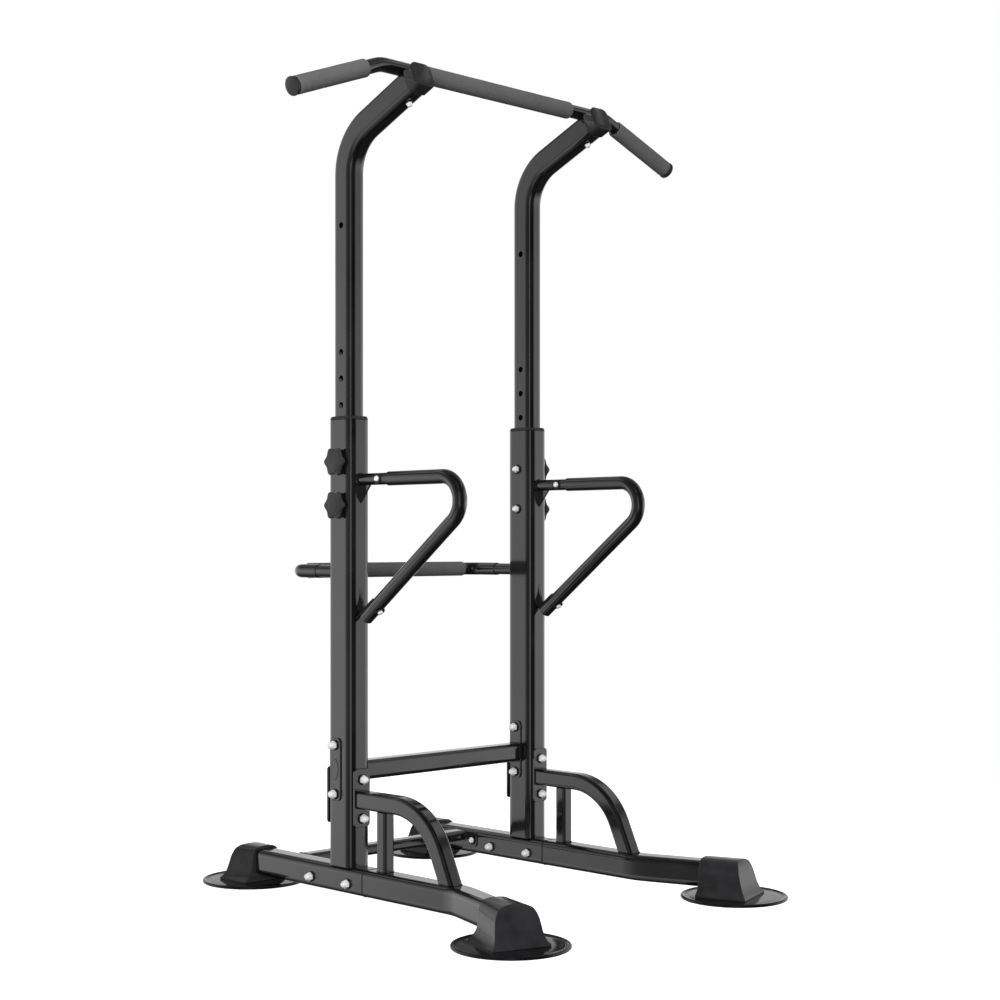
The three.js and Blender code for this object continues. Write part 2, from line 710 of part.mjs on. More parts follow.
// Built with the rail entering at the mouth and running along +Y.
function footCap(mouth) {
  const ring = (along, column) => {
    const half = CAP_ARCH.map((row) => new THREE.Vector3(row[column], along, row[2]));
    const other = half.map((point) => new THREE.Vector3(-point.x, point.y, point.z)).reverse();
    return half.concat(other);
  };
  const top = CAP_ARCH[CAP_ARCH.length - 1][2];
  const side = [[mouth, CAP.bottom], ...CAP_END, [mouth, top]];
  const bore = roundedRect(RAIL.side + 2 * GAP, RAIL.side + 2 * GAP, RAIL.corner)
    .map((point) => new THREE.Vector2(point.x + RAIL.z, point.y));
  return loft([ring(CAP.end + 1, 1), ring(mouth - 1, 0)])
    .intersect(prism(polygon(side), "X", -CAP.flange - 1, CAP.flange + 1))
    .subtract(prism(bore, "Y", mouth - 1, CAP.rail + GAP));
}

function frontFootCap() {
  return turnAboutZ(footCap(CAP.frontMouth), 180 + RAIL.splay).translate([FRONT_FOOT.x, FRONT_FOOT.y, 0]);
}

function rearFootCap() {
  return footCap(CAP.rearMouth).translate([UPRIGHT.x, REAR_FOOT.y, 0]);
}

// ---------------------------------------------------------------- assembly

const paint = { color: 0x1a1a1c, roughness: 0.28, metalness: 0.35 };
const plastic = { color: 0x17181a, roughness: 0.5, metalness: 0 };
const rubber = { color: 0x101112, roughness: 0.4, metalness: 0 };
const foam = { color: 0x3a3b3d, roughness: 0.95, metalness: 0 };
const steel = { color: 0xc9cccf, roughness: 0.22, metalness: 1 };

const group = new THREE.Group();
group.name = "power_tower";

function add(name, solid, finish) {
  const mesh = new THREE.Mesh(toGeometry(solid), new THREE.MeshStandardMaterial(finish));
  mesh.name = name;
  group.add(mesh);
}

function addPair(name, solid, finish) {
  add(`${name}_right`, solid, finish);
  add(`${name}_left`, solid.mirror([1, 0, 0]), finish);
}

addPair("upright", upright(), paint);
addPair("guide_bushing", guideBushing(), plastic);
addPair("rear_rail", rearRail(), paint);
addPair("front_rail", frontRail(), paint);
addPair("rail_insert", railInsert(), plastic);
add("rear_cross_tube", rearCrossTube(), paint);
add("crossbar", crossbar(), paint);
addPair("crossbar_washer_plate", crossbarWasherPlate(), paint);
addPair("arch_brace", archBrace(), paint);
addPair("brace_post", bracePost(), paint);
addPair("brace_front_plate", braceFrontPlate(), paint);
addPair("brace_back_plate", braceBackPlate(), paint);
add("rear_bar", rearBar(), paint);
addPair("rear_bar_stub", rearBarStub(), paint);
add("rear_bar_grip", rearBarGrip(), foam);
addPair("dip_handle", dipHandle(), paint);
addPair("dip_upper_stub", dipUpperStub(), paint);
addPair("dip_lower_bracket", dipLowerBracket(), paint);
addPair("front_foot_cap", frontFootCap(), plastic);
addPair("rear_foot_cap", rearFootCap(), plastic);
addPair("front_foot_disc", footDisc(FRONT_FOOT), rubber);
addPair("rear_foot_disc", footDisc(REAR_FOOT), rubber);

addPair("upper_tube", upperTube(), paint);
addPair("bar_saddle", barSaddle(), plastic);
addPair("saddle_bolt", saddleBolt(), steel);
add("pullup_bar", pullupBar(), paint);
add("middle_bar_grip", middleGrip(), foam);
addPair("end_bar_grip", endGrip(), foam);
addPair("bar_end_cap", barEndCap(), plastic);

LOCK_HEIGHTS.forEach((z, i) => {
  const level = i === 0 ? "top" : "low";
  addPair(`${level}_lock_pin`, lockPin(z), steel);
  addPair(`${level}_lock_knob`, lockKnob(z), plastic);
});

export default group;
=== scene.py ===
import json
import math

import bmesh
import bpy
from mathutils import Matrix, Vector, noise

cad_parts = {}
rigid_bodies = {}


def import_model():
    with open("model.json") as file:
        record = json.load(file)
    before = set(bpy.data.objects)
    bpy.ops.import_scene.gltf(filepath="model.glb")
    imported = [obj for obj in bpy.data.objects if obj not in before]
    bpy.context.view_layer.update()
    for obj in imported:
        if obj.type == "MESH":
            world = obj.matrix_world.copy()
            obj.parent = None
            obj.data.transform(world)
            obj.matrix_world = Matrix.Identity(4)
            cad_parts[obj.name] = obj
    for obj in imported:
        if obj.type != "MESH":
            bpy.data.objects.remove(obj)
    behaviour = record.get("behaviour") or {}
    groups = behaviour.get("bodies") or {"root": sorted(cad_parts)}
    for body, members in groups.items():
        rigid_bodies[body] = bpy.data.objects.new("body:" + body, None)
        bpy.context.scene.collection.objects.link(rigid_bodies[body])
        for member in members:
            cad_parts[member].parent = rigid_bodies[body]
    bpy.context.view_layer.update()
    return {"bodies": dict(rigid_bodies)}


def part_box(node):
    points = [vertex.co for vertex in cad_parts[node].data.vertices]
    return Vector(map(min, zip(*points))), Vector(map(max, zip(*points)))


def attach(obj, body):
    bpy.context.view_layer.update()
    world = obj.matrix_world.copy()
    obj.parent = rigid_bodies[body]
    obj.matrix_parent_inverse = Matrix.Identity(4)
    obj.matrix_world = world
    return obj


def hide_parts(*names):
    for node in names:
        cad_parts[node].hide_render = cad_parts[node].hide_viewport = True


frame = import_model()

MM = 0.001
GAP = 0.3 * MM  # between pieces that meet
X_AXIS = Vector((1, 0, 0))
Y_AXIS = Vector((0, 1, 0))
Z_AXIS = Vector((0, 0, 1))


def middle(node):
    low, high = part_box(node)
    return (Vector(low) + Vector(high)) / 2


def low_of(node):
    return Vector(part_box(node)[0])


def high_of(node):
    return Vector(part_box(node)[1])


# Where things are, read from the CAD.
UP_X = middle("rear_rail_right").x
UP_Y = middle("upright_right").y
UP_FRONT = low_of("upright_right").y
UP_BACK = high_of("upright_right").y
UP_INNER = low_of("upright_right").x
UP_OUTER = 2 * UP_X - UP_INNER
RAIL_Z = middle("rear_rail_right").z
RAIL_TOP = high_of("rear_rail_right").z

# -------- materials


class Nodes:
    """A node tree with short calls for adding and joining nodes."""

    def __init__(self, tree):
        self.tree = tree

    def add(self, kind, **settings):
        node = self.tree.nodes.new(kind)
        for key, value in settings.items():
            setattr(node, key, value)
        return node

    def link(self, source, target):
        self.tree.links.new(source, target)


def new_material(name):
    material = bpy.data.materials.new(name)
    material.use_nodes = True
    nodes = Nodes(material.node_tree)
    shader = material.node_tree.nodes["Principled BSDF"]
    place = nodes.add("ShaderNodeTexCoord")
    return material, nodes, shader, place.outputs["Object"]


def noise_node(nodes, place, scale, detail=2.0, rough=0.5):
    node = nodes.add("ShaderNodeTexNoise")
    node.inputs["Scale"].default_value = scale
    node.inputs["Detail"].default_value = detail
    node.inputs["Roughness"].default_value = rough
    nodes.link(place, node.inputs["Vector"])
    return node.outputs["Fac"]


def ramp_colour(nodes, factor, dark, light, start=0.35, end=0.65):
    ramp = nodes.add("ShaderNodeValToRGB")
    ramp.color_ramp.elements[0].position = start
    ramp.color_ramp.elements[0].color = (*dark, 1)
    ramp.color_ramp.elements[1].position = end
    ramp.color_ramp.elements[1].color = (*light, 1)
    nodes.link(factor, ramp.inputs["Fac"])
    return ramp.outputs["Color"]


def map_range(nodes, factor, low, high, start=0.3, end=0.7):
    node = nodes.add("ShaderNodeMapRange")
    node.inputs["From Min"].default_value = start
    node.inputs["From Max"].default_value = end
    node.inputs["To Min"].default_value = low
    node.inputs["To Max"].default_value = high
    nodes.link(factor, node.inputs["Value"])
    return node.outputs["Result"]


def bump(nodes, shader, height, strength, distance):
    node = nodes.add("ShaderNodeBump")
    node.inputs["Strength"].default_value = strength
    node.inputs["Distance"].default_value = distance
    nodes.link(height, node.inputs["Height"])
    nodes.link(node.outputs["Normal"], shader.inputs["Normal"])


DEEP_BLACK = (0.003, 0.003, 0.0035), (0.007, 0.007, 0.0075)


def paint_material():
    material, nodes, shader, place = new_material("gloss_black_paint")
    broad = noise_node(nodes, place, 9.0, 3.0)
    fine = noise_node(nodes, place, 420.0, 2.0)
    colour = ramp_colour(nodes, broad, *DEEP_BLACK)
    nodes.link(colour, shader.inputs["Base Color"])
    nodes.link(map_range(nodes, broad, 0.08, 0.13), shader.inputs["Roughness"])
    shader.inputs["Specular IOR Level"].default_value = 1.0
    shader.inputs["Coat Weight"].default_value = 0.5
    shader.inputs["Coat Roughness"].default_value = 0.04
    bump(nodes, shader, fine, 0.04, 0.0002)
    return material


def plastic_material(name, dark, light, rough_low, rough_high, grain, specular=0.5):
    material, nodes, shader, place = new_material(name)
    broad = noise_node(nodes, place, 22.0, 3.0)
    fine = noise_node(nodes, place, grain, 3.0, 0.65)
    nodes.link(ramp_colour(nodes, broad, dark, light), shader.inputs["Base Color"])
    nodes.link(map_range(nodes, fine, rough_low, rough_high), shader.inputs["Roughness"])
    shader.inputs["Specular IOR Level"].default_value = specular
    bump(nodes, shader, fine, 0.12, 0.0002)
    return material


def foam_material():
    material, nodes, shader, place = new_material("grip_foam")
    cells = nodes.add("ShaderNodeTexVoronoi")
    cells.inputs["Scale"].default_value = 900.0
    nodes.link(place, cells.inputs["Vector"])
    clouds = noise_node(nodes, place, 260.0, 4.0, 0.6)
    broad = noise_node(nodes, place, 14.0, 3.0)
    mixed = nodes.add("ShaderNodeMath", operation="MULTIPLY_ADD")
    nodes.link(cells.outputs["Distance"], mixed.inputs[0])
    mixed.inputs[1].default_value = 0.6
    nodes.link(clouds, mixed.inputs[2])
    blotch = nodes.add("ShaderNodeMath", operation="MULTIPLY_ADD")
    nodes.link(broad, blotch.inputs[0])
    blotch.inputs[1].default_value = 0.5
    nodes.link(mixed.outputs[0], blotch.inputs[2])
    colour = ramp_colour(nodes, blotch.outputs[0], (0.068, 0.068, 0.070), (0.112, 0.112, 0.115), 0.65, 1.15)
    nodes.link(colour, shader.inputs["Base Color"])
    shader.inputs["Roughness"].default_value = 0.92
    shader.inputs["Specular IOR Level"].default_value = 0.3
    bump(nodes, shader, mixed.outputs[0], 0.45, 0.0006)
    return material


def metal_material(name, dark, light, rough_low, rough_high, metallic):
    material, nodes, shader, place = new_material(name)
    fine = noise_node(nodes, place, 300.0, 3.0)
    nodes.link(ramp_colour(nodes, fine, dark, light), shader.inputs["Base Color"])
    nodes.link(map_range(nodes, fine, rough_low, rough_high), shader.inputs["Roughness"])
    shader.inputs["Metallic"].default_value = metallic
    bump(nodes, shader, fine, 0.05, 0.0002)
    return material


PAINT = paint_material()
FOAM = foam_material()
PLASTIC = plastic_material(
    "satin_black_plastic", (0.015, 0.015, 0.016), (0.024, 0.024, 0.026), 0.13, 0.20, 1500.0, 0.36,
)
KNOB_PLASTIC = plastic_material(
    "knob_plastic", (0.026, 0.026, 0.028), (0.040, 0.040, 0.043), 0.42, 0.58, 1800.0,
)
RUBBER = plastic_material("smooth_black_rubber", *DEEP_BLACK, 0.08, 0.16, 500.0)
CHROME = metal_material(
    "bright_plating", (0.80, 0.81, 0.82), (0.95, 0.95, 0.96), 0.16, 0.28, 0.30,
)
WASHER = metal_material(
    "dark_washer_steel", (0.02, 0.02, 0.022), (0.05, 0.05, 0.055), 0.28, 0.42, 0.8,
)

# -------- outlines


def rounded_rect(width, height, radius, steps=6, hold=1.2 * MM):
    """Outline factory: inset -> points. Each flat side also keeps a point close to its corners."""

    def points(inset=0.0):
        w, h, r = width / 2 - inset, height / 2 - inset, radius - inset
        out = []
        for quarter, (sx, sy) in enumerate(((1, 1), (-1, 1), (-1, -1), (1, -1))):
            start = quarter * math.pi / 2
            before = Vector((math.sin(start), -math.cos(start))) * hold
            after = Vector((-math.cos(start), -math.sin(start))) * hold
            centre = Vector((sx * (w - r), sy * (h - r)))
            arc = []
            for i in range(steps + 1):
                angle = start + i / steps * math.pi / 2
                arc.append(centre + Vector((math.cos(angle), math.sin(angle))) * r)
            out.append(arc[0] + before)
            out.extend(arc)
            out.append(arc[-1] + after)
        return out

    return points


def circle(radius, steps=40):
    def points(inset=0.0):
        angles = [2 * math.pi * i / steps for i in range(steps)]
        return [Vector((math.cos(a), math.sin(a))) * (radius - inset) for a in angles]

    return points


# -------- shells
# A shell is a list of points and a list of faces.


def place_ring(point, tangent, side, outline):
    up = tangent.cross(side).normalized()
    return [point + side * p.x + up * p.y for p in outline]


def loft(rings, closed=False):
    count = len(rings[0])
    points = [p for ring in rings for p in ring]
    faces = []
    spans = len(rings) if closed else len(rings) - 1
    for r in range(spans):
        a = r * count
        b = (r + 1) % len(rings) * count
        for i in range(count):
            j = (i + 1) % count
            faces.append((a + i, a + j, b + j, b + i))
    if not closed:
        faces.append(tuple(range(count))[::-1])
        faces.append(tuple(range(len(points) - count, len(points))))
    return points, faces


def bent(corners, step=5.0, hold=3 * MM):
    """Points and tangents of straight runs with round bends."""
    stations = []
    last = len(corners) - 1
    for i, (at, bend) in enumerate(corners):
        arriving = (at - corners[i - 1][0]).normalized() if i else None
        leaving = (corners[i + 1][0] - at).normalized() if i < last else None
        if arriving is None or leaving is None:
            stations.append((at.copy(), leaving or arriving))
            continue
        turn = arriving.angle(leaving)
        start = at - arriving * bend * math.tan(turn / 2)
        inward = (leaving - arriving * leaving.dot(arriving)).normalized()
        centre = start + inward * bend
        stations.append((start - arriving * hold, arriving))
        steps = math.ceil(turn / math.radians(step))
        for k in range(steps + 1):
            angle = turn * k / steps
            point = centre - inward * bend * math.cos(angle) + arriving * bend * math.sin(angle)
            stations.append((point, arriving * math.cos(angle) + inward * math.sin(angle)))
        stations.append((stations[-1][0] + leaving * hold, leaving))
    return stations


def tube(corners, outline, side, wall=None, chamfer=0.6 * MM, foot=None):
    """A swept tube. foot is the height of a level cut across the last end."""
    stations = bent(corners)
    (first, start), (final, end) = stations[0], stations[-1]
    path = [(first, start, chamfer), (first + start * chamfer, start, 0.0)]
    path += [(p, t, 0.0) for p, t in stations[1:-1]]
    path += [(final - end * chamfer, end, 0.0), (final, end, chamfer)]
    ends = {len(path) - 2, len(path) - 1}
    if wall:
        path += [(p, t, wall) for p, t in reversed(stations)]
        ends.add(len(path) - len(stations))
    rings = []
    for number, (point, tangent, inset) in enumerate(path):
        ring = place_ring(point, tangent, side, outline(inset))
        if foot is not None and number in ends:
            level = foot + (chamfer if number == min(ends) else 0.0)
            ring = [p + tangent * ((level - p.z) / tangent.z) for p in ring]
        rings.append(ring)
    return loft(rings, closed=bool(wall))


def basis(axis):
    """Two directions square to axis, and axis."""
    w = Vector(axis).normalized()
    u = (X_AXIS if abs(w.x) < 0.9 else Y_AXIS).cross(w).normalized()
    return u, w.cross(u), w


def lathe(profile, origin, axis, steps=32):
    """Turns (radius, height) pairs round an axis. A pair with no radius closes the shell."""
    u, v, w = basis(axis)
    points = []
    rings = []
    for radius, height in profile:
        count = 1 if radius < 1e-7 else steps
        rings.append([len(points) + i for i in range(count)])
        for i in range(count):
            angle = 2 * math.pi * i / steps
            spoke = (u * math.cos(angle) + v * math.sin(angle)) * radius
            points.append(Vector(origin) + spoke + w * height)
    faces = []
    for low, high in zip(rings, rings[1:]):
        for i in range(steps):
            j = (i + 1) % steps
            if len(low) == 1 and len(high) == 1:
                continue
            if len(low) == 1:
                faces.append((low[0], high[j], high[i]))
            elif len(high) == 1:
                faces.append((low[i], low[j], high[0]))
            else:
                faces.append((low[i], low[j], high[j], high[i]))
    return points, faces


def slab(outline, origin, axis, side, thickness, chamfer=0.8 * MM):
    """A flat plate of the outline standing on origin, its thickness along axis."""
    axis = Vector(axis).normalized()
    steps = ((chamfer, 0.0), (0.0, chamfer), (0.0, thickness - chamfer), (chamfer, thickness))
    return loft(
        [place_ring(Vector(origin) + axis * h, axis, Vector(side), outline(n)) for n, h in steps],
    )


def join(*shells):
    points, faces = [], []
    for more_points, more_faces in shells:
        base = len(points)
        points += list(more_points)
        faces += [tuple(base + i for i in face) for face in more_faces]
    return points, faces


def mirror(shell):
    points, faces = shell
    return [Vector((-p.x, p.y, p.z)) for p in points], [face[::-1] for face in faces]


def moved(shell, matrix):
    points, faces = shell
    return [matrix @ p for p in points], faces


# -------- objects


def add_to_scene(obj):
    bpy.context.scene.collection.objects.link(obj)


def mesh_from(shell, name):
    points, faces = shell
    mesh = bpy.data.meshes.new(name)
    mesh.from_pydata([tuple(p) for p in points], [], faces)
    edit = bmesh.new()
    edit.from_mesh(mesh)
    bmesh.ops.recalc_face_normals(edit, faces=edit.faces[:])
    edit.to_mesh(mesh)
    edit.free()
    return mesh


def finish_mesh(mesh, sharp):
    for polygon in mesh.polygons:
        polygon.use_smooth = True
    mesh.set_sharp_from_angle(angle=math.radians(sharp))


def carve(shell, name, cutters):
    """Cuts the other shells out of this one and returns the new mesh."""
    work = bpy.data.objects.new(name + "_work", mesh_from(shell, name + "_work"))
    add_to_scene(work)
    tools = []
    for number, cutter in enumerate(cutters):
        tool_name = f"{name}_tool{number}"
        tool = bpy.data.objects.new(tool_name, mesh_from(cutter, tool_name))
        add_to_scene(tool)
        modifier = work.modifiers.new(f"cut{number}", "BOOLEAN")
        modifier.operation = "DIFFERENCE"
        modifier.solver = "EXACT"
        modifier.object = tool
        tools.append(tool)
    graph = bpy.context.evaluated_depsgraph_get()
    mesh = bpy.data.meshes.new_from_object(work.evaluated_get(graph))
    mesh.name = name
    mesh.materials.clear()
    for extra in [work, *tools]:
        data = extra.data
        bpy.data.objects.remove(extra)
        bpy.data.meshes.remove(data)
    return mesh


SIDES = (("right", lambda s: s), ("left", mirror))


def piece(name, shape, material, body, replaces=(), sharp=35):
    mesh = shape if isinstance(shape, bpy.types.Mesh) else mesh_from(shape, name)
    finish_mesh(mesh, sharp)
    mesh.materials.append(material)
    obj = bpy.data.objects.new(name, mesh)
    add_to_scene(obj)
    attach(obj, body)
    if replaces:
        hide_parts(*replaces)
    return obj


def pair(name, shell, material, body, replaces=None, sharp=35, cutters=()):
    """A right piece and its mirror image. body and replaces are names without the side, or whole."""
    made = []
    for side, turn in SIDES:
        shape = turn(shell)
        if cutters:
            shape = carve(shape, f"{name}_{side}", [turn(tool) for tool in cutters])
        own_body = body if body in frame["bodies"] else f"{body}_{side}"
        nodes = (f"{replaces}_{side}",) if replaces else ()
        made.append(piece(f"{name}_{side}", shape, material, own_body, nodes, sharp))
    return made


def at(x, y, z, bend=0.0):
    return Vector((x, y, z)), bend


# -------- uprights

UPRIGHT_W, UPRIGHT_D, UPRIGHT_R, UPRIGHT_WALL = 62 * MM, 82 * MM, 18 * MM, 2.5 * MM
LOCK_Z = {level: middle(f"{level}_lock_pin_right").z for level in ("top", "low")}
UP_BOTTOM, UP_TOP = low_of("upright_right").z, high_of("upright_right").z


def weld(outline, origin, axis, side, radius=2.0 * MM, seed=0.0):
    """A slightly uneven weld bead round an outline."""
    origin, axis, side = Vector(origin), Vector(axis).normalized(), Vector(side)
    spine = place_ring(origin, axis, side, outline(0.0))
    rings = []
    count = len(spine)
    for i, point in enumerate(spine):
        along = (spine[(i + 1) % count] - spine[i - 1]).normalized()
        out = along.cross(axis).normalized()
        wobble = 1.0 + 0.25 * noise.noise(point * 300 + Vector((seed, 0, 0)))
        ring = []
        for k in range(8):
            angle = 2 * math.pi * k / 8
            ring.append(point + (out * math.cos(angle) + axis * math.sin(angle)) * radius * wobble)
        rings.append(ring)
    return loft(rings, closed=True)


upright = tube(
    [at(UP_X, UP_Y, UP_BOTTOM), at(UP_X, UP_Y, UP_TOP)],
    rounded_rect(UPRIGHT_W, UPRIGHT_D, UPRIGHT_R, steps=9),
    X_AXIS,
    wall=UPRIGHT_WALL,
)
bosses = [
    lathe(
        [(6.2 * MM, -1 * MM), (13 * MM, -1 * MM), (13 * MM, 1.1 * MM), (12.4 * MM, 1.7 * MM), (6.2 * MM, 1.7 * MM)],
        (UP_OUTER, UP_Y, z),
        X_AXIS,
    )
    for z in LOCK_Z.values()
]
pair("upright", join(upright, *bosses), PAINT, "base", "upright")

UPPER_W, UPPER_D, UPPER_R, UPPER_WALL = 47 * MM, 63 * MM, 16 * MM, 2 * MM
BUSHING_BOTTOM, BUSHING_TOP = low_of("guide_bushing_right").z, high_of("guide_bushing_right").z
BUSHING_STEPS = (
    # inset from the upright's outline, height above its top end
    (0.2, 0.3), (0.0, 0.6), (0.0, 2.0), (0.5, 4.0), (1.6, 6.0), (3.0, 7.4), (4.4, 8.0),
)


def guide_bushing():
    outer = rounded_rect(UPRIGHT_W, UPRIGHT_D, UPRIGHT_R, steps=9)
    bore = rounded_rect(UPPER_W + 1 * MM, UPPER_D + 1 * MM, UPPER_R + 0.5 * MM, steps=9)
    sleeve = UPRIGHT_WALL + GAP
    rings = []

    def ring(outline, inset, z):
        rings.append(place_ring(Vector((UP_X, UP_Y, z)), Z_AXIS, X_AXIS, outline(inset)))

    for inset, height in BUSHING_STEPS:
        ring(outer, inset * MM, UP_TOP + height * MM)
    ring(bore, -0.6 * MM, BUSHING_TOP)
    ring(bore, 0.0, BUSHING_TOP - 0.8 * MM)
    ring(bore, 0.0, BUSHING_BOTTOM)
    ring(outer, sleeve, BUSHING_BOTTOM)
    ring(outer, sleeve, UP_TOP + BUSHING_STEPS[0][1] * MM)
    return loft(rings, closed=True)


pair("guide_bushing", guide_bushing(), PLASTIC, "base", "guide_bushing", sharp=30)

# -------- upper frame

RISE = math.radians(23.5)
SADDLE_AT = Vector((UP_X, UP_Y - 189.5 * MM, 1806.2 * MM))
SADDLE_T = Vector((0, -math.cos(RISE), math.sin(RISE)))
SADDLE_N = Vector((0, math.sin(RISE), math.cos(RISE)))
BAR_R = 16 * MM
UPPER_BOTTOM = low_of("upper_tube_right").z
UPPER_CORNER_Z = 1723.8 * MM
UPPER_BEND = 115 * MM
UPPER_HOLE_R = 7.3 * MM
HOLE_HEIGHTS = (1532, 1245, 1185, 1125, 1086.5, 1026.5, 996.5, 898, 756.5, 658)


def saddle(s, n):
    """A point beside the saddle: s along the rising tube and n square to it, in mm."""
    return SADDLE_AT + SADDLE_T * s * MM + SADDLE_N * n * MM


def rod(start, end, radius, steps=32):
    start, end = Vector(start), Vector(end)
    length = (end - start).length
    return lathe([(0, 0), (radius, 0), (radius, length), (0, length)], start, end - start, steps)


BAR_AXIS = saddle(18.3, 42.0)
notch = rod(BAR_AXIS - X_AXIS * 60 * MM, BAR_AXIS + X_AXIS * 60 * MM, BAR_R + GAP, 48)
holes = join(
    *[
        rod((UP_X - 30 * MM, UP_Y, z * MM), (UP_X + 30 * MM, UP_Y, z * MM), UPPER_HOLE_R)
        for z in HOLE_HEIGHTS
    ]
)
upper = tube(
    [
        at(UP_X, UP_Y, UPPER_BOTTOM),
        at(UP_X, UP_Y, UPPER_CORNER_Z, UPPER_BEND),
        (saddle(33, 0), 0.0),
    ],
    rounded_rect(UPPER_W, UPPER_D, UPPER_R, steps=9),
    X_AXIS,
    wall=UPPER_WALL,
)
pair(
    "upper_tube",
    upper,
    PAINT,
    "upper_frame",
    "upper_tube",
    cutters=[holes, notch],
)


def saddle_shell():
    """The fitting in the end of the tube: a plug, and a wider block with a flat arched front."""
    plug = rounded_rect(UPPER_W - 2 * 2.3 * MM, UPPER_D - 2 * 2.3 * MM, UPPER_R - 2.3 * MM, steps=9)
    block = rounded_rect(55 * MM, 60 * MM, 14 * MM, steps=9)
    rings = []

    def ring(outline, s, inset=0.0, drop=0.0):
        rings.append([saddle(s, p.y / MM - drop) + X_AXIS * p.x for p in outline(inset)])

    ring(plug, -15, 1.0 * MM)
    ring(plug, -14)
    ring(plug, 33.3)
    ring(block, 33.3, 1.0 * MM, 1.5)
    ring(block, 34.3, 0.0, 1.5)
    ring(block, 65.0, 0.0, 1.5)
    ring(block, 65.7, 0.3 * MM, 1.5)
    ring(block, 66.0, 1.0 * MM, 1.5)
    return loft(rings)


SADDLE_HOLLOW = (
    # s, n in mm
    (33.0, 40.0), (33.0, 8.0), (37.0, 1.0), (42.0, -10.0), (48.0, -18.0), (54.0, -22.0),
    (60.0, -23.0), (60.0, 40.0),
)
hollow = loft([[saddle(a, b) + X_AXIS * x * MM for a, b in SADDLE_HOLLOW] for x in (-31, 31)])
pair(
    "bar_saddle",
    saddle_shell(),
    PLASTIC,
    "upper_frame",
    "bar_saddle",
    cutters=[hollow, notch],
)

BAR_BEND_X, BAR_END_X, BAR_END_Z = 360 * MM, 600 * MM, 1761.4 * MM
BAR_Y, BAR_Z = BAR_AXIS.y, BAR_AXIS.z
BAR_SLOPE = (BAR_Z - BAR_END_Z) / (BAR_END_X - BAR_BEND_X)


def bar_point(x):
    return Vector((x, BAR_Y, BAR_Z - max(0.0, x - BAR_BEND_X) * BAR_SLOPE))


bar = tube(
    [
        at(-BAR_END_X, BAR_Y, BAR_END_Z),
        at(-BAR_BEND_X, BAR_Y, BAR_Z, 80 * MM),
        at(BAR_BEND_X, BAR_Y, BAR_Z, 80 * MM),
        at(BAR_END_X, BAR_Y, BAR_END_Z),
    ],
    circle(BAR_R, 48),
    Y_AXIS,
    wall=2 * MM,
)
piece("pullup_bar_tube", bar, PAINT, "upper_frame", ("pullup_bar",))


def foam_sleeve(start, end, radius, bore, steps=48):
    """A foam grip: rounded ends and a surface that isn't quite even."""
    start, end = Vector(start), Vector(end)
    length = (end - start).length
    edge = 2.4 * MM
    profile = [(bore, 0.6 * MM), (bore + 0.6 * MM, 0.0)]
    for i in range(5):
        angle = i / 4 * math.pi / 2
        profile.append((radius - edge + edge * math.sin(angle), edge - edge * math.cos(angle)))
    runs = max(2, round(length / (12 * MM)))
    profile += [(radius, edge + (length - 2 * edge) * i / runs) for i in range(1, runs)]
    for i in range(4, -1, -1):
        angle = i / 4 * math.pi / 2
        profile.append((radius - edge + edge * math.sin(angle), length - edge + edge * math.cos(angle)))
    profile += [(bore + 0.6 * MM, length), (bore, length - 0.6 * MM), (bore, 0.6 * MM)]
    points, faces = lathe(profile, start, end - start, steps)
    axis = (end - start).normalized()
    uneven = []
    for p in points:
        spoke = p - start - axis * (p - start).dot(axis)
        if spoke.length > bore + 1 * MM:
            swell = 1 + 0.010 * noise.noise(p * 45) + 0.004 * noise.noise(p * 160)
            p = p + spoke * (swell - 1.006)
        uneven.append(p)
    return uneven, faces


GRIP_R = 20 * MM
GRIP_MID = high_of("middle_bar_grip").x
GRIP_START, GRIP_END = 404 * MM, 593 * MM
piece(
        "middle_bar_foam",
        foam_sleeve((-GRIP_MID, BAR_Y, BAR_Z), (GRIP_MID, BAR_Y, BAR_Z), GRIP_R, BAR_R + 0.2 * MM),
        FOAM,
        "upper_frame",
        ("middle_bar_grip",),
    )
for grip in pair(
    "end_bar_foam",
    foam_sleeve(bar_point(GRIP_START), bar_point(GRIP_END), GRIP_R, BAR_R + 0.2 * MM),
    FOAM,
    "upper_frame",
    "end_bar_grip",
):
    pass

BAR_DOWN = (bar_point(BAR_END_X) - bar_point(GRIP_START)).normalized()
cap_start = bar_point(GRIP_END + 0.3 * MM)
CAP_PROFILE = (
    # radius, distance out along the bar
    (16.3, 0.0), (18.6, 0.0), (19.4, 0.8), (19.4, 2.4), (18.6, 3.0), (18.6, 4.0), (20.0, 4.6),
    (20.6, 5.4), (20.6, 9.0), (19.8, 10.2), (17.6, 10.8), (8.0, 11.3), (0.0, 11.4),
)
cap_profile = [(r * MM, h * MM) for r, h in CAP_PROFILE]
cap_profile += [(0.0, 8.0 * MM), (16.3 * MM, 8.0 * MM), (16.3 * MM, 0.0)]
pair(
    "bar_end_cap",
    lathe(cap_profile, cap_start, BAR_DOWN, 48),
    PLASTIC,
    "upper_frame",
    "bar_end_cap",
    sharp=30,
)

# -------- fasteners


def hexagon(radius):
    def points(inset=0.0):
        angles = [math.pi / 3 * i for i in range(6)]
        return [Vector((math.cos(a), math.sin(a))) * (radius - inset) for a in angles]

    return points


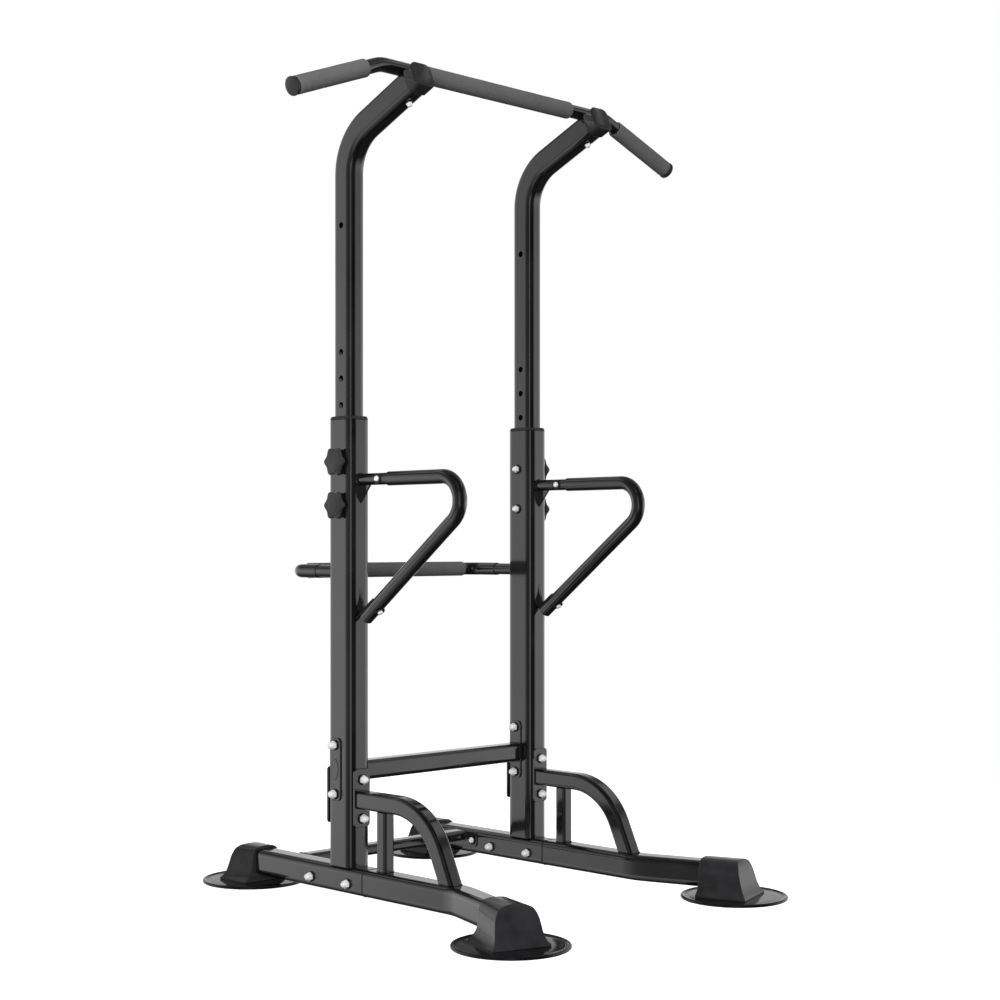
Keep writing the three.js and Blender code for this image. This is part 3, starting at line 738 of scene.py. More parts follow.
def dome_nut(origin, axis, radius=10.2 * MM, height=16 * MM):
    """A cap nut: a chamfered hexagon under a dome."""
    u, _, w = basis(axis)
    origin = Vector(origin)
    flat = height * 0.42
    steps = ((0.7 * MM, 0.0), (0.0, 0.6 * MM), (0.0, flat - 0.9 * MM), (1.0 * MM, flat))
    hexed = loft([place_ring(origin + w * h, w, u, hexagon(radius)(inset)) for inset, h in steps])
    dome_radius = radius * 0.84
    profile = [(0.0, flat - 1 * MM), (dome_radius, flat - 1 * MM), (dome_radius, flat)]
    for i in range(1, 9):
        angle = i / 8 * math.pi / 2
        profile.append((dome_radius * math.cos(angle), flat + (height - flat) * math.sin(angle)))
    profile[-1] = (0.0, height)
    return join(hexed, lathe(profile, origin, w, 28))


def bolt_head(origin, axis, radius=8.5 * MM, height=5.5 * MM):
    """A low round head with a round socket sunk in its top."""
    profile = [
        (0.0, 0.0),
        (radius, 0.0),
        (radius, height * 0.35),
        (radius * 0.92, height * 0.72),
        (radius * 0.74, height),
        (radius * 0.42, height),
        (radius * 0.40, height * 0.45),
        (0.0, height * 0.40),
    ]
    return lathe(profile, origin, axis, 28)


def washer(origin, axis, radius=12.2 * MM, bore=5 * MM, thickness=2.4 * MM):
    profile = [
        (bore, 0.0),
        (radius, 0.0),
        (radius, thickness * 0.6),
        (radius - 0.7 * MM, thickness),
        (bore, thickness),
        (bore, 0.0),
    ]
    return lathe(profile, origin, axis, 32)


def fastened(name, body, spots, nut=dome_nut, lift=2.4 * MM, **sizes):
    """Bright nuts with dark washers at (origin, axis) spots on the right, and mirrored on the left."""
    nuts = join(*[nut(Vector(o) + Vector(a).normalized() * lift, a, **sizes) for o, a in spots])
    plates = join(*[washer(o, a) for o, a in spots])
    pair(f"{name}_nuts", nuts, CHROME, body)
    pair(f"{name}_washers", plates, WASHER, body)


saddle_bolt_at = saddle(2.0, -31.8)
for side, turn in SIDES:
    bolt = join(
        dome_nut(saddle_bolt_at - SADDLE_N * 1.6 * MM, -SADDLE_N, 7.6 * MM, 9.2 * MM),
        rod(saddle_bolt_at, saddle(2.0, -6.0), 4 * MM, 20),
    )
    piece(f"saddle_bolt_{side}_nut", turn(bolt), CHROME, "upper_frame", (f"saddle_bolt_{side}",))
    ring = washer(saddle_bolt_at, -SADDLE_N, 9.4 * MM, 4.2 * MM, 1.6 * MM)
    piece(f"saddle_washer_{side}", turn(ring), WASHER, "upper_frame")

# -------- height locks

LOBES = 6


def star(inset=0.0, steps=96):
    """The knob's outline: six soft lobes joined by shallow hollows, one lobe towards -Y."""
    points = []
    for i in range(steps):
        angle = 2 * math.pi * i / steps
        radius = 30.2 + 3.0 * math.cos(LOBES * angle) + 0.3 * math.cos(2 * LOBES * angle) - inset
        points.append(Vector((math.cos(angle), math.sin(angle))) * radius * MM)
    return points


KNOB_BACK = low_of("top_lock_knob_right").x
KNOB_STEPS = (
    # inset, distance out from the knob's back face, in mm
    (3.0, 0.0), (0.9, 0.4), (0.0, 1.6), (0.0, 6.0), (0.4, 7.2), (1.4, 8.1), (3.0, 8.5),
)
KNOB_DISC = (
    (0.0, 7.0), (25.2, 7.0), (25.2, 8.9), (24.6, 9.7),
    (23.4, 10.1), (20.4, 10.2), (19.6, 9.7), (18.8, 10.1),
)
KNOB_CROWN = ((10.0, 10.7), (0.0, 11.0))


def knob(z):
    centre = Vector((KNOB_BACK, UP_Y, z))
    rings = []
    for inset, out in KNOB_STEPS:
        rings.append([centre + Vector((out * MM, p.x, p.y)) for p in star(inset)])
    disc = lathe([(r * MM, h * MM) for r, h in KNOB_DISC + KNOB_CROWN], centre, X_AXIS, 48)
    return join(loft(rings), disc)


def lock_screw(z):
    start = low_of("top_lock_pin_right").x
    end = high_of("top_lock_pin_right").x
    profile = [(0.0, 0.0), (4.0 * MM, 0.0), (5.0 * MM, 1.0 * MM)]
    length = end - start
    turns = int((length - 2 * MM) / (1.5 * MM))
    for i in range(turns):
        base = 1.2 * MM + i * 1.5 * MM
        profile += [(4.95 * MM, base), (4.35 * MM, base + 0.7 * MM)]
    profile += [(4.95 * MM, length - 0.6 * MM), (4.2 * MM, length), (0.0, length)]
    return lathe(profile, (start, UP_Y, z), X_AXIS, 24)


for level, z in LOCK_Z.items():
    pair(f"{level}_knob_star", knob(z), KNOB_PLASTIC, f"{level}_knob", f"{level}_lock_knob", sharp=32)
    pair(f"{level}_screw", lock_screw(z), CHROME, f"{level}_pin", f"{level}_lock_pin", sharp=60)

fastened(
    "lock_inner",
    "base",
    [((UP_INNER, UP_Y + 4 * MM, z), -X_AXIS) for z in LOCK_Z.values()],
    radius=8.6 * MM,
    height=13 * MM,
)

# -------- dip handles

HANDLE_R, STUB_R = 16 * MM, 13.5 * MM
HANDLE_Z = 956 * MM
HANDLE_SEAM, HANDLE_BOLT, HANDLE_REACH = 138.5 * MM, 113.5 * MM, 470.3 * MM
LEG_AHEAD, LEG_Z = 61, 645  # a point on the return leg, in mm
LEG_ANGLE = math.radians(37.23)
LEG_UP = Vector((0, -math.cos(LEG_ANGLE), math.sin(LEG_ANGLE)))
LEG_TOP = Vector((0, math.sin(LEG_ANGLE), math.cos(LEG_ANGLE)))


def leg_point(ahead):
    """A point on the handle's return leg, so many mm in front of the upright's centre line."""
    return Vector((UP_X, UP_Y - ahead * MM, (LEG_Z + (ahead - LEG_AHEAD) * math.tan(LEG_ANGLE)) * MM))


handle = tube(
    [
        at(UP_X, UP_Y - HANDLE_SEAM, HANDLE_Z),
        at(UP_X, UP_Y - HANDLE_REACH, HANDLE_Z, 53 * MM),
        (leg_point(60), 0.0),
    ],
    circle(HANDLE_R, 40),
    X_AXIS,
    wall=2 * MM,
    chamfer=1.2 * MM,
)
pair("dip_handle_tube", handle, PAINT, "base", "dip_handle")


def gusset(points, half):
    """A flat triangular rib with its faces square to X."""
    rings = []
    for x, inset in ((-half, 0.5), (-half + 0.5, 0.0), (half - 0.5, 0.0), (half, 0.5)):
        middle_point = sum((Vector(p) for p in points), Vector((0, 0))) / len(points)
        ring = []
        for p in points:
            p = Vector(p)
            p = p + (middle_point - p).normalized() * inset
            ring.append(Vector((UP_X + x * MM, p.x * MM, p.y * MM)))
        rings.append(ring)
    return loft(rings)


face_y = UP_FRONT / MM
stub_low = (HANDLE_Z - STUB_R) / MM
upper_stub = tube(
    [at(UP_X, UP_FRONT - GAP, HANDLE_Z), at(UP_X, UP_Y - HANDLE_SEAM + GAP, HANDLE_Z)],
    circle(STUB_R, 40),
    X_AXIS,
)
upper_gusset = gusset(
    [(face_y - 35, stub_low + 2), (face_y - 0.3, stub_low - 39), (face_y - 0.3, stub_low + 2)], 2.5
)
upper_bead = weld(circle(STUB_R, 40), (UP_X, UP_FRONT - 1.0 * MM, HANDLE_Z), -Y_AXIS, X_AXIS)
pair("dip_stub", join(upper_stub, upper_gusset, upper_bead), PAINT, "base", "dip_upper_stub")


def lower_bracket():
    """A half shell over the low end of the handle, cut off square at the upright."""
    inner, outer = HANDLE_R + 0.3 * MM, HANDLE_R + 2.9 * MM
    wrap = math.radians(52)
    outline = []
    for radius, sign in ((outer, 1), (inner, -1)):
        for i in range(17):
            angle = sign * wrap * (1 - 2 * i / 16)
            outline.append(Vector((math.sin(angle), math.cos(angle))) * radius)
    rings = []
    for ahead in (None, 70, 99.4, 100):
        shrink = 0.6 * MM if ahead == 100 else 0.0
        ring = []
        for p in outline:
            p = p * (1 - shrink / (2 * p.length))
            start = leg_point(ahead or 60)
            point = start + X_AXIS * p.x + LEG_TOP * p.y
            if ahead is None:
                point = point + LEG_UP * ((UP_FRONT - GAP - point.y) / LEG_UP.y)
            ring.append(point)
        rings.append(ring)
    return loft(rings)


shell_top = 23.0
near = leg_point(UP_Y / MM - face_y).z / MM + shell_top
far = leg_point(UP_Y / MM - face_y + 17).z / MM + shell_top
rib_points = [(face_y - 0.3, near), (face_y - 0.3, near + 60)]
for i in range(1, 8):
    reach = i / 8
    rib_points.append((face_y - 0.3 - 17 * reach**2, near + 60 * (1 - reach) ** 1.15 + (far - near) * reach))
rib_points.append((face_y - 17.3, far))
bracket_rib = gusset(rib_points, 2.5)
pair("dip_bracket", join(lower_bracket(), bracket_rib), PAINT, "base", "dip_lower_bracket")

leg_bolt = leg_point(97) - LEG_TOP * HANDLE_R
fastened(
    "dip_handle",
    "base",
    [
        ((UP_X + STUB_R - 0.6 * MM, UP_Y - HANDLE_BOLT, HANDLE_Z), X_AXIS),
        ((UP_X - STUB_R + 0.6 * MM, UP_Y - HANDLE_BOLT, HANDLE_Z), -X_AXIS),
    ],
    nut=bolt_head,
    lift=1.0 * MM,
    radius=6.6 * MM,
)
leg_spot = (leg_bolt + LEG_TOP * 0.8 * MM, -LEG_TOP)
fastened("dip_bracket", "base", [leg_spot], nut=bolt_head, radius=6.2 * MM, lift=1.2 * MM)

# -------- rear hand bar

REAR_R, REAR_Z = 15.7 * MM, 748 * MM
REAR_SEAM, REAR_Y = UP_Y + 105 * MM, UP_Y + 197 * MM
rear_bar = tube(
    [
        at(-UP_X, REAR_SEAM, REAR_Z),
        at(-UP_X, REAR_Y, REAR_Z, 36 * MM),
        at(UP_X, REAR_Y, REAR_Z, 36 * MM),
        at(UP_X, REAR_SEAM, REAR_Z),
    ],
    circle(REAR_R, 40),
    Z_AXIS,
    wall=2 * MM,
    chamfer=1.0 * MM,
)
piece("rear_bar_tube", rear_bar, PAINT, "base", ("rear_bar",))
rear_stub = tube(
    [at(UP_X, UP_BACK + GAP, REAR_Z), at(UP_X, REAR_SEAM - GAP, REAR_Z)],
    circle(14 * MM, 40),
    X_AXIS,
)
rear_bead = weld(circle(14 * MM, 40), (UP_X, UP_BACK + 1.0 * MM, REAR_Z), Y_AXIS, X_AXIS, seed=4.0)
pair("rear_stub", join(rear_stub, rear_bead), PAINT, "base", "rear_bar_stub")
REAR_GRIP = high_of("rear_bar_grip").x
piece(
        "rear_bar_foam",
        foam_sleeve((-REAR_GRIP, REAR_Y, REAR_Z), (REAR_GRIP, REAR_Y, REAR_Z), 18.2 * MM, REAR_R + 0.2 * MM),
        FOAM,
        "base",
        ("rear_bar_grip",),
    )

# -------- crossbar

CROSS_Y, CROSS_Z = middle("crossbar").y, 294 * MM
PLATE_MID_Z = middle("crossbar_washer_plate_right").z
PLATE_T = 3 * MM
cross_end = UP_INNER - GAP - PLATE_T
crossbar = tube(
    [at(-cross_end, CROSS_Y, CROSS_Z), at(cross_end, CROSS_Y, CROSS_Z)],
    rounded_rect(44 * MM, 44 * MM, 9 * MM),
    Z_AXIS,
    wall=2 * MM,
    chamfer=0.1 * MM,
)
end_outline = rounded_rect(142 * MM, 36 * MM, 10 * MM)
cross_parts = [crossbar]
for sign in (1, -1):
    cross_parts.append(
        slab(end_outline, (sign * cross_end, CROSS_Y, PLATE_MID_Z), X_AXIS * sign, Z_AXIS, PLATE_T)
    )
    bead = weld(rounded_rect(44 * MM, 44 * MM, 9 * MM), (sign * cross_end, CROSS_Y, CROSS_Z), X_AXIS, Z_AXIS, seed=7.0)
    cross_parts.append(bead)
piece("crossbar_tube", join(*cross_parts), PAINT, "base", ("crossbar",))


def oval(width, height, steps=40):
    def points(inset=0.0):
        angles = [2 * math.pi * i / steps for i in range(steps)]
        return [Vector((math.cos(a) * (height / 2 - inset), math.sin(a) * (width / 2 - inset))) for a in angles]

    return points


def oval_mark(z):
    """A raised oval in the middle of the washer plate."""
    start = (UP_OUTER + GAP + PLATE_T, CROSS_Y, z)
    return slab(oval(23 * MM, 48 * MM), start, X_AXIS, Z_AXIS, 0.9 * MM, 0.7 * MM)


outer_plate = slab(end_outline, (UP_OUTER + GAP, CROSS_Y, PLATE_MID_Z), X_AXIS, Z_AXIS, PLATE_T)
pair("washer_plate", join(outer_plate, oval_mark(PLATE_MID_Z)), PAINT, "base", "crossbar_washer_plate")
BOLT_Z = (355.8 * MM, 245.0 * MM)
fastened("crossbar_outer", "base", [((UP_OUTER + GAP + PLATE_T, CROSS_Y, z), X_AXIS) for z in BOLT_Z])
fastened("crossbar_inner", "base", [((cross_end, CROSS_Y, z), -X_AXIS) for z in BOLT_Z])

# -------- front braces

front_low, front_high = low_of("brace_front_plate_right"), high_of("brace_front_plate_right")
back_low, back_high = low_of("brace_back_plate_right"), high_of("brace_back_plate_right")


def brace_plate(low, high, direction):
    outline = rounded_rect(high.x - low.x, high.z - low.z, 8 * MM)
    start = high.y if direction < 0 else low.y
    return slab(
        outline,
        (UP_X, start, (low.z + high.z) / 2),
        Y_AXIS * direction,
        X_AXIS,
        high.y - low.y,
    )


pair("brace_front", brace_plate(front_low, front_high, -1), PAINT, "base", "brace_front_plate")
pair("brace_back", brace_plate(back_low, back_high, 1), PAINT, "base", "brace_back_plate")
BRACE_BOLT_Z = (279.4 * MM, 191.8 * MM)
fastened("brace_front", "base", [((UP_X, front_low.y, z), -Y_AXIS) for z in BRACE_BOLT_Z])
fastened("brace_back", "base", [((UP_X, back_high.y, z), Y_AXIS) for z in BRACE_BOLT_Z])

ARCH_Z, ARCH_BEND, ARCH_TANGENT, ARCH_ANGLE = 234.5 * MM, 150 * MM, 170 * MM, math.radians(65)
arch_corner_y = UP_Y - ARCH_TANGENT - ARCH_BEND * math.tan(ARCH_ANGLE / 2)
arch_drop = ARCH_Z - RAIL_TOP - GAP
arch_outline = rounded_rect(38 * MM, 40 * MM, 8 * MM)
arch_end = Vector((UP_X, arch_corner_y - arch_drop / math.tan(ARCH_ANGLE), RAIL_TOP + GAP))
arch = tube(
    [
        at(UP_X, front_low.y - GAP, ARCH_Z),
        at(UP_X, arch_corner_y, ARCH_Z, ARCH_BEND),
        (arch_end, 0.0),
    ],
    arch_outline,
    X_AXIS,
    wall=2 * MM,
    foot=RAIL_TOP + GAP,
)
leg_cut = rounded_rect(38 * MM, 40 * MM / math.sin(ARCH_ANGLE), 8.4 * MM)
arch_foot_bead = weld(leg_cut, arch_end + Z_AXIS * 0.8 * MM, Z_AXIS, X_AXIS, 1.2 * MM, seed=11.0)
arch_head_bead = weld(arch_outline, (UP_X, front_low.y - 0.6 * MM, ARCH_Z), -Y_AXIS, X_AXIS, 0.9 * MM, seed=13.0)
pair("arch_brace", join(arch, arch_foot_bead, arch_head_bead), PAINT, "base", "arch_brace")

post_low, post_high = low_of("brace_post_right"), high_of("brace_post_right")
post_y = (post_low.y + post_high.y) / 2
post_outline = rounded_rect(30 * MM, 30 * MM, 6 * MM)
post = tube([at(UP_X, post_y, post_low.z), at(UP_X, post_y, post_high.z)], post_outline, X_AXIS, wall=2 * MM)
post_bead = weld(post_outline, (UP_X, post_y, post_low.z + 0.8 * MM), Z_AXIS, X_AXIS, 1.2 * MM, seed=17.0)
pair("brace_post", join(post, post_bead), PAINT, "base", "brace_post")

# -------- base rails

rail_outline = rounded_rect(60 * MM, 60 * MM, 14 * MM, steps=9)
rear_low, rear_high = low_of("rear_rail_right"), high_of("rear_rail_right")
rear_rail = tube([at(UP_X, rear_low.y, RAIL_Z), at(UP_X, rear_high.y, RAIL_Z)], rail_outline, Z_AXIS, wall=2.5 * MM)
upright_bead = weld(
    rounded_rect(UPRIGHT_W - 1 * MM, UPRIGHT_D, UPRIGHT_R, steps=9),
    (UP_X, UP_Y, RAIL_TOP + 0.2 * MM),
    Z_AXIS,
    X_AXIS,
    1.1 * MM,
    seed=19.0,
)
pair("rear_rail", join(rear_rail, upright_bead), PAINT, "base", "rear_rail")

SPLAY = math.radians(18.2)
front_start = high_of("front_rail_right").y
front_bend_y = UP_Y - 369.9 * MM
foot_front = middle("front_foot_disc_right")
foot_rear = middle("rear_foot_disc_right")
splay_way = Vector((math.sin(SPLAY), -math.cos(SPLAY), 0))
front_reach = (front_bend_y - foot_front.y) / math.cos(SPLAY) + 8 * MM
front_corner = Vector((UP_X, front_bend_y, RAIL_Z))
front_rail = tube(
    [
        at(UP_X, front_start, RAIL_Z),
        (front_corner, 150 * MM),
        (front_corner + splay_way * front_reach, 0.0),
    ],
    rail_outline,
    Z_AXIS,
    wall=2.5 * MM,
)
pair("front_rail", front_rail, PAINT, "base", "front_rail")


def rail_collar():
    joint = middle("rail_insert_right").y
    half = 1.5 * MM
    outer = rounded_rect(61.6 * MM, 61.6 * MM, 14.6 * MM, steps=9)
    inner = rounded_rect(54.4 * MM, 54.4 * MM, 11.2 * MM, steps=9)
    low, high = low_of("rail_insert_right").y, high_of("rail_insert_right").y
    rings = []

    def ring(outline, y, inset=0.0):
        rings.append(place_ring(Vector((UP_X, y, RAIL_Z)), Y_AXIS, Z_AXIS, outline(inset)))

    ring(inner, low, 1.0 * MM)
    ring(inner, low + 2 * MM)
    ring(inner, joint - half)
    ring(outer, joint - half, 0.8 * MM)
    ring(outer, joint - half + 0.6 * MM)
    ring(outer, joint + half - 0.6 * MM)
    ring(outer, joint + half, 0.8 * MM)
    ring(inner, joint + half)
    ring(inner, high - 2 * MM)
    ring(inner, high, 1.0 * MM)
    ring(inner, high, 2.5 * MM)
    ring(inner, low, 2.5 * MM)
    return loft(rings, closed=True)


pair("rail_collar", rail_collar(), PLASTIC, "base", "rail_insert", sharp=30)

RAIL_OUT, RAIL_IN = high_of("rear_rail_right").x, low_of("rear_rail_right").x
RAIL_BOLT_Z = 46.5 * MM
RAIL_BOLTS = (UP_Y - 30.5 * MM, UP_Y + 99.5 * MM)
fastened("rail_outer", "base", [((RAIL_OUT, y, RAIL_BOLT_Z), X_AXIS) for y in RAIL_BOLTS])
fastened("rail_inner", "base", [((RAIL_IN, y, RAIL_BOLT_Z), -X_AXIS) for y in RAIL_BOLTS])

tube_low, tube_high = low_of("rear_cross_tube"), high_of("rear_cross_tube")
TUBE_Y, TUBE_Z = (tube_low.y + tube_high.y) / 2, 66 * MM
tube_end = tube_high.x - PLATE_T
tube_outline = rounded_rect(26 * MM, 40 * MM, 8 * MM)
cross_tube = tube(
    [at(-tube_end, TUBE_Y, TUBE_Z), at(tube_end, TUBE_Y, TUBE_Z)],
    tube_outline,
    Z_AXIS,
    wall=2 * MM,
    chamfer=0.1 * MM,
)
tube_parts = [cross_tube]
for sign in (1, -1):
    tube_parts.append(
        slab(
            rounded_rect(38 * MM, 112 * MM, 10 * MM),
            (sign * tube_end, TUBE_Y, TUBE_Z - 8 * MM),
            X_AXIS * sign,
            Z_AXIS,
            PLATE_T,
        )
    )
    tube_parts.append(weld(tube_outline, (sign * tube_end, TUBE_Y, TUBE_Z), X_AXIS, Z_AXIS, 1.8 * MM, seed=23.0))
piece("rear_cross_tube_body", join(*tube_parts), PAINT, "base", ("rear_cross_tube",))
fastened(
    "cross_tube",
    "base",
    [((tube_end, TUBE_Y + dy * MM, 56 * MM), -X_AXIS) for dy in (-41, 41)],
    nut=bolt_head,
    lift=1.0 * MM,
    radius=7.6 * MM,
)

# -------- feet

DISC_PROFILE = (
    # radius, height in mm
    (0.0, 0.0), (118.0, 0.0), (121.0, 0.4), (122.6, 1.6), (123.0, 3.2), (122.7, 5.2),
    (121.6, 6.7), (119.8, 7.4), (117.6, 7.4), (115.8, 6.7), (114.4, 5.6), (112.6, 4.9),
    (109.0, 4.6), (104.0, 4.7), (98.0, 5.1), (90.0, 5.2), (60.0, 5.2), (0.0, 5.2),
)


def foot_disc(centre):
    profile = [(r * MM, h * MM) for r, h in DISC_PROFILE]
    return lathe(profile, (centre.x, centre.y, 0.0), Z_AXIS, 96)


pair("front_disc", foot_disc(foot_front), RUBBER, "base", "front_foot_disc", sharp=40)
pair("rear_disc", foot_disc(foot_rear), RUBBER, "base", "rear_foot_disc", sharp=40)

CAP_ARCH = (
    # distance from the middle at the mouth, the same at the end, height, in mm
    (62.0, 66.0, 5.5), (62.0, 66.0, 9.0), (58.5, 64.6, 11.0), (52.0, 60.5, 16.0),
    (46.5, 58.4, 22.0), (43.0, 57.0, 28.0), (40.4, 55.6, 38.0), (39.0, 54.5, 47.0),
    (38.0, 52.5, 60.0), (37.0, 48.5, 70.0), (33.5, 41.5, 80.0), (28.0, 33.0, 85.0),
    (20.0, 22.0, 88.0), (8.0, 8.0, 89.5),
)
CAP_END = (
    # height, distance along the rail, in mm
    (5.5, 50.0), (9.0, 50.0), (13.0, 46.4), (20.0, 42.0), (32.0, 37.0), (79.0, 24.0),
    (87.0, 19.0), (89.5, 15.0),
)
CAP_LENGTH = 51.0


def along_profile(profile, height):
    for (z0, y0), (z1, y1) in zip(profile, profile[1:]):
        if height <= z1:
            t = (height - z0) / (z1 - z0)
            return y0 + (y1 - y0) * t
    return profile[-1][1]


def smooth_outline(points, parts=3):
    """A Catmull-Rom curve through the points."""
    points = [Vector(p) for p in points]
    out = []
    for i in range(len(points) - 1):
        p0, p1 = points[max(i - 1, 0)], points[i]
        p2, p3 = points[i + 1], points[min(i + 2, len(points) - 1)]
        for k in range(parts):
            t = k / parts
            out.append(
                0.5
                * (
                    2 * p1
                    + (p2 - p0) * t
                    + (2 * p0 - 5 * p1 + 4 * p2 - p3) * t * t
                    + (3 * p1 - p0 - 3 * p2 + p3) * t * t * t
                )
            )
    out.append(points[-1])
    return out


def cap_shell(mouth):
    """The foot cap: close round the rail at its mouth and wider towards its leaning end."""
    columns = []
    for column in (0, 1):
        rows = [(row[column], row[2]) for row in CAP_ARCH]
        columns.append([Vector(p) for p in rows[:2]] + smooth_outline(rows[2:]))
    outline = list(zip(*columns))
    rings = []

    def ring(place, factor=1.0):
        placed = []
        for near, far in outline:
            height = 40.0 + (near.y - 40.0) * factor
            along = place(height)
            share = (along - mouth) / (CAP_LENGTH - mouth)
            width = (near.x + (far.x - near.x) * share) * factor
            placed.append(Vector((width, along, max(height, CAP_ARCH[0][2]))) * MM)
        placed += [Vector((-p.x, p.y, p.z)) for p in reversed(placed)]
        rings.append(placed)

    ring(lambda z: mouth, 0.985)
    ring(lambda z: mouth + 0.8)
    ring(lambda z: mouth + 2.5)
    ring(lambda z: along_profile(CAP_END, z) - 4.0)
    ring(lambda z: along_profile(CAP_END, z) - 1.2)
    ring(lambda z: along_profile(CAP_END, z) - 0.4, 0.998)
    ring(lambda z: along_profile(CAP_END, z), 0.988)
    for factor in (0.95, 0.8, 0.6, 0.4, 0.2):
        ring(lambda z: along_profile(CAP_END, z), factor)
    return loft(rings)


def pocket(mouth, depth):
    outline = rounded_rect(60.8 * MM, 60.8 * MM, 14.4 * MM)
    start, end = Vector((0, mouth * MM, RAIL_Z)), Vector((0, depth * MM, RAIL_Z))
    return loft([place_ring(p, Y_AXIS, Z_AXIS, outline(0.0)) for p in (start, end)])


front_place = Matrix.Translation((foot_front.x, foot_front.y, 0)) @ Matrix.Rotation(math.pi + SPLAY, 4, "Z")
rear_place = Matrix.Translation((UP_X, foot_rear.y, 0))
for where, place, mouth in (("front", front_place, -72.0), ("rear", rear_place, -45.0)):
    pair(
        f"{where}_cap",
        moved(cap_shell(mouth), place),
        PLASTIC,
        "base",
        f"{where}_foot_cap",
        cutters=[moved(pocket(mouth - 2, 8.4), place)],
    )

# -------- floor, light and camera


FLOOR_R = 2.6


def floor():
    outline = [Vector((math.cos(a), math.sin(a))) * FLOOR_R for a in (2 * math.pi * i / 96 for i in range(96))]
    shell = loft([[Vector((p.x, p.y, z)) for p in outline] for z in (-0.02, -0.0005)])
    mesh = mesh_from(shell, "floor")
    material, nodes, shader, place = new_material("pale_floor")
    soft = noise_node(nodes, place, 1.5, 2.0)
    nodes.link(ramp_colour(nodes, soft, (0.86, 0.86, 0.86), (0.90, 0.90, 0.90)), shader.inputs["Base Color"])
    shader.inputs["Roughness"].default_value = 0.9
    shader.inputs["Specular IOR Level"].default_value = 0.1
    shader.inputs["Emission Color"].default_value = (1, 1, 1, 1)
    shader.inputs["Emission Strength"].default_value = 0.85
    mesh.materials.append(material)
    obj = bpy.data.objects.new("floor", mesh)
    obj.visible_glossy = False
    obj.visible_diffuse = False
    add_to_scene(obj)


floor()

HEADING = math.radians(44.7)
TO_CAMERA = Vector((-math.sin(HEADING), -math.cos(HEADING), 0.0))
TO_RIGHT = Vector((math.cos(HEADING), -math.sin(HEADING), 0.0))


AROUND = (
    # angle from the camera's direction, in degrees, and how bright the studio is there
    (-180, 0.95), (-98, 1.0), (-80, 0.50), (-64, 0.24), (-34, 0.14), (-16, 0.12), (-9, 0.62),
    (7, 0.62), (13, 0.02), (64, 0.02), (84, 0.75), (106, 1.3), (150, 1.1), (180, 0.95),
)
UPWARD = (
    # sine of the height angle, and how bright the studio is there
    (-1.0, 0.02), (-0.42, 0.04), (-0.26, 0.55), (-0.14, 1.0), (0.0, 1.0), (0.16, 0.78),
    (0.30, 0.60), (0.44, 0.40), (0.52, 0.14), (0.60, 0.12), (0.66, 0.50), (0.72, 0.50),
    (0.78, 0.14), (1.0, 0.14),
)
FLOOR_AROUND = (
    # the same angle, and how bright the floor beside the part is there
    (-180, 0.0), (-125, 0.10), (-90, 0.85), (-60, 0.85), (-42, 0.60), (-20, 0.10), (0, 0.0),
    (180, 0.0),
)
FLOOR_UPWARD = (
    (-1.0, 0.15), (-0.72, 0.45), (-0.45, 0.95), (-0.32, 0.70), (-0.20, 0.0), (1.0, 0.0),
)


def bright_ramp(nodes, source, low, high, stops):
    scaled = nodes.add("ShaderNodeMapRange")
    scaled.inputs["From Min"].default_value = low
    scaled.inputs["From Max"].default_value = high
    nodes.link(source, scaled.inputs["Value"])
    ramp = nodes.add("ShaderNodeValToRGB")
    elements = ramp.color_ramp.elements
    while len(elements) < len(stops):
        elements.new(0.5)
    for element, (at_value, brightness) in zip(elements, stops):
        element.position = (at_value - low) / (high - low)
        element.color = (brightness, brightness, brightness, 1)
    nodes.link(scaled.outputs["Result"], ramp.inputs["Fac"])
    return ramp.outputs["Color"]


def dot_with(nodes, place, direction):
    dot = nodes.add("ShaderNodeVectorMath", operation="DOT_PRODUCT")
    nodes.link(place, dot.inputs[0])
    dot.inputs[1].default_value = direction
    return dot.outputs["Value"]


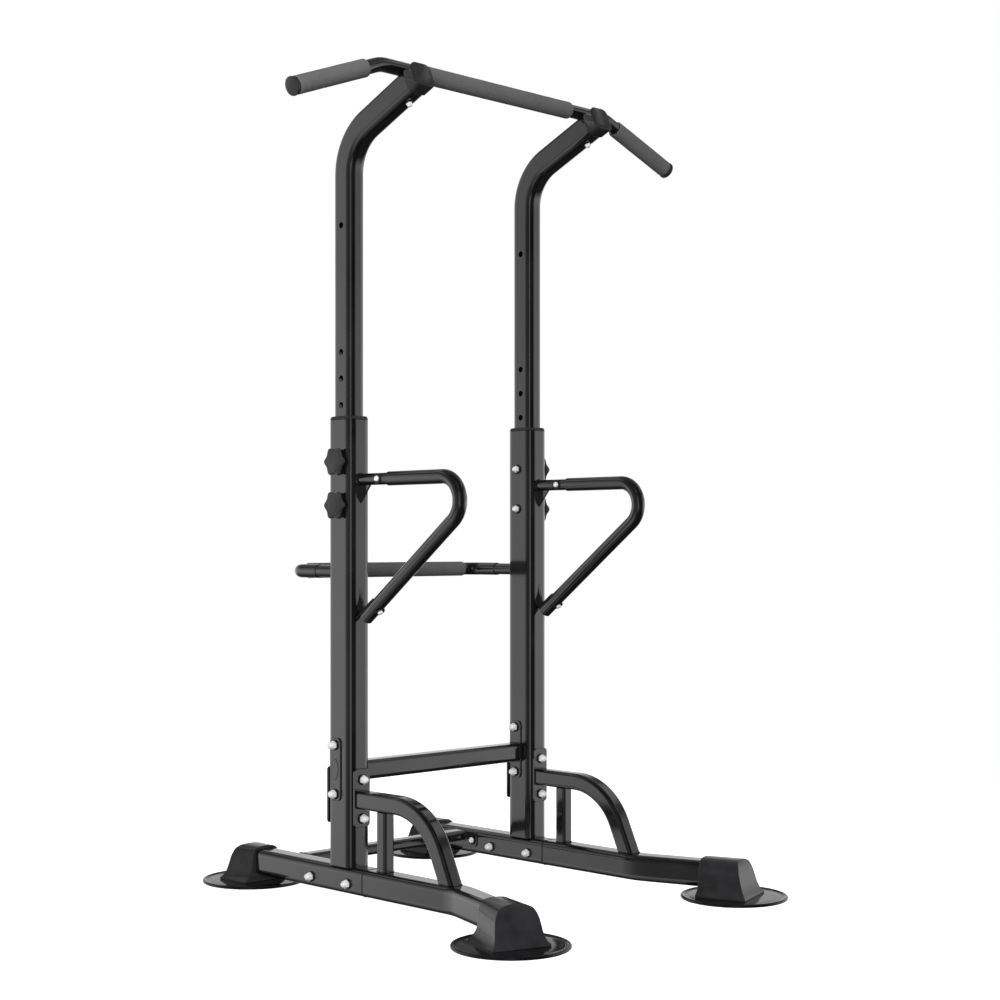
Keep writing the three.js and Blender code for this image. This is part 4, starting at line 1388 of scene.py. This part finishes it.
def studio_world():
    """Bright beside the part, dark in front of it, and plain white to the camera."""
    world = bpy.data.worlds.new("studio")
    bpy.context.scene.world = world
    world.use_nodes = True
    tree = world.node_tree
    tree.nodes.clear()
    nodes = Nodes(tree)
    place = nodes.add("ShaderNodeTexCoord").outputs["Generated"]
    turn = nodes.add("ShaderNodeMath", operation="ARCTAN2")
    nodes.link(dot_with(nodes, place, TO_RIGHT), turn.inputs[0])
    nodes.link(dot_with(nodes, place, TO_CAMERA), turn.inputs[1])
    rise = dot_with(nodes, place, Z_AXIS)
    parts = []
    for round_stops, rise_stops in ((AROUND, UPWARD), (FLOOR_AROUND, FLOOR_UPWARD)):
        around = [(math.radians(angle), value) for angle, value in round_stops]
        product = nodes.add("ShaderNodeMath", operation="MULTIPLY")
        nodes.link(bright_ramp(nodes, turn.outputs[0], -math.pi, math.pi, around), product.inputs[0])
        nodes.link(bright_ramp(nodes, rise, -1.0, 1.0, rise_stops), product.inputs[1])
        parts.append(product.outputs[0])
    both = nodes.add("ShaderNodeMath", operation="ADD")
    nodes.link(parts[0], both.inputs[0])
    nodes.link(parts[1], both.inputs[1])
    lit = nodes.add("ShaderNodeBackground")
    nodes.link(both.outputs[0], lit.inputs["Strength"])
    seen = nodes.add("ShaderNodeBackground")
    path = nodes.add("ShaderNodeLightPath")
    mix = nodes.add("ShaderNodeMixShader")
    for background in (lit, seen):
        background.inputs["Color"].default_value = (1, 1, 1, 1)
    nodes.link(path.outputs["Is Camera Ray"], mix.inputs["Fac"])
    nodes.link(lit.outputs["Background"], mix.inputs[1])
    nodes.link(seen.outputs["Background"], mix.inputs[2])
    out = nodes.add("ShaderNodeOutputWorld")
    nodes.link(mix.outputs["Shader"], out.inputs["Surface"])


studio_world()


def soft_light(name, location, target, size_x, size_y, power):
    light = bpy.data.lights.new(name, "AREA")
    light.shape = "RECTANGLE"
    light.size, light.size_y = size_x, size_y
    light.energy = power
    obj = bpy.data.objects.new(name, light)
    obj.location = location
    aim = (Vector(target) - Vector(location)).normalized()
    obj.rotation_euler = aim.to_track_quat("-Z", "Y").to_euler()
    obj.visible_glossy = False
    add_to_scene(obj)


soft_light("overhead", (0, 0, 5.0), (0, 0, 0), 5.0, 5.0, 110)
soft_light("front", TO_CAMERA * 4.6 + Z_AXIS * 1.6, (0, 0, 0.9), 4.0, 3.0, 300)

CAMERA_AT, CAMERA_LENS, CAMERA_SHIFT = (-2.9243, -3.0311, 0.8091), 64.85, 0.0447
camera_data = bpy.data.cameras.new("camera")
camera_data.lens = CAMERA_LENS
camera_data.sensor_width = 36.0
camera_data.shift_y = CAMERA_SHIFT
camera = bpy.data.objects.new("camera", camera_data)
camera.location = CAMERA_AT
camera.rotation_euler = (math.pi / 2, 0, -HEADING)
add_to_scene(camera)
bpy.context.scene.camera = camera
bpy.context.scene.view_settings.view_transform = "Standard"
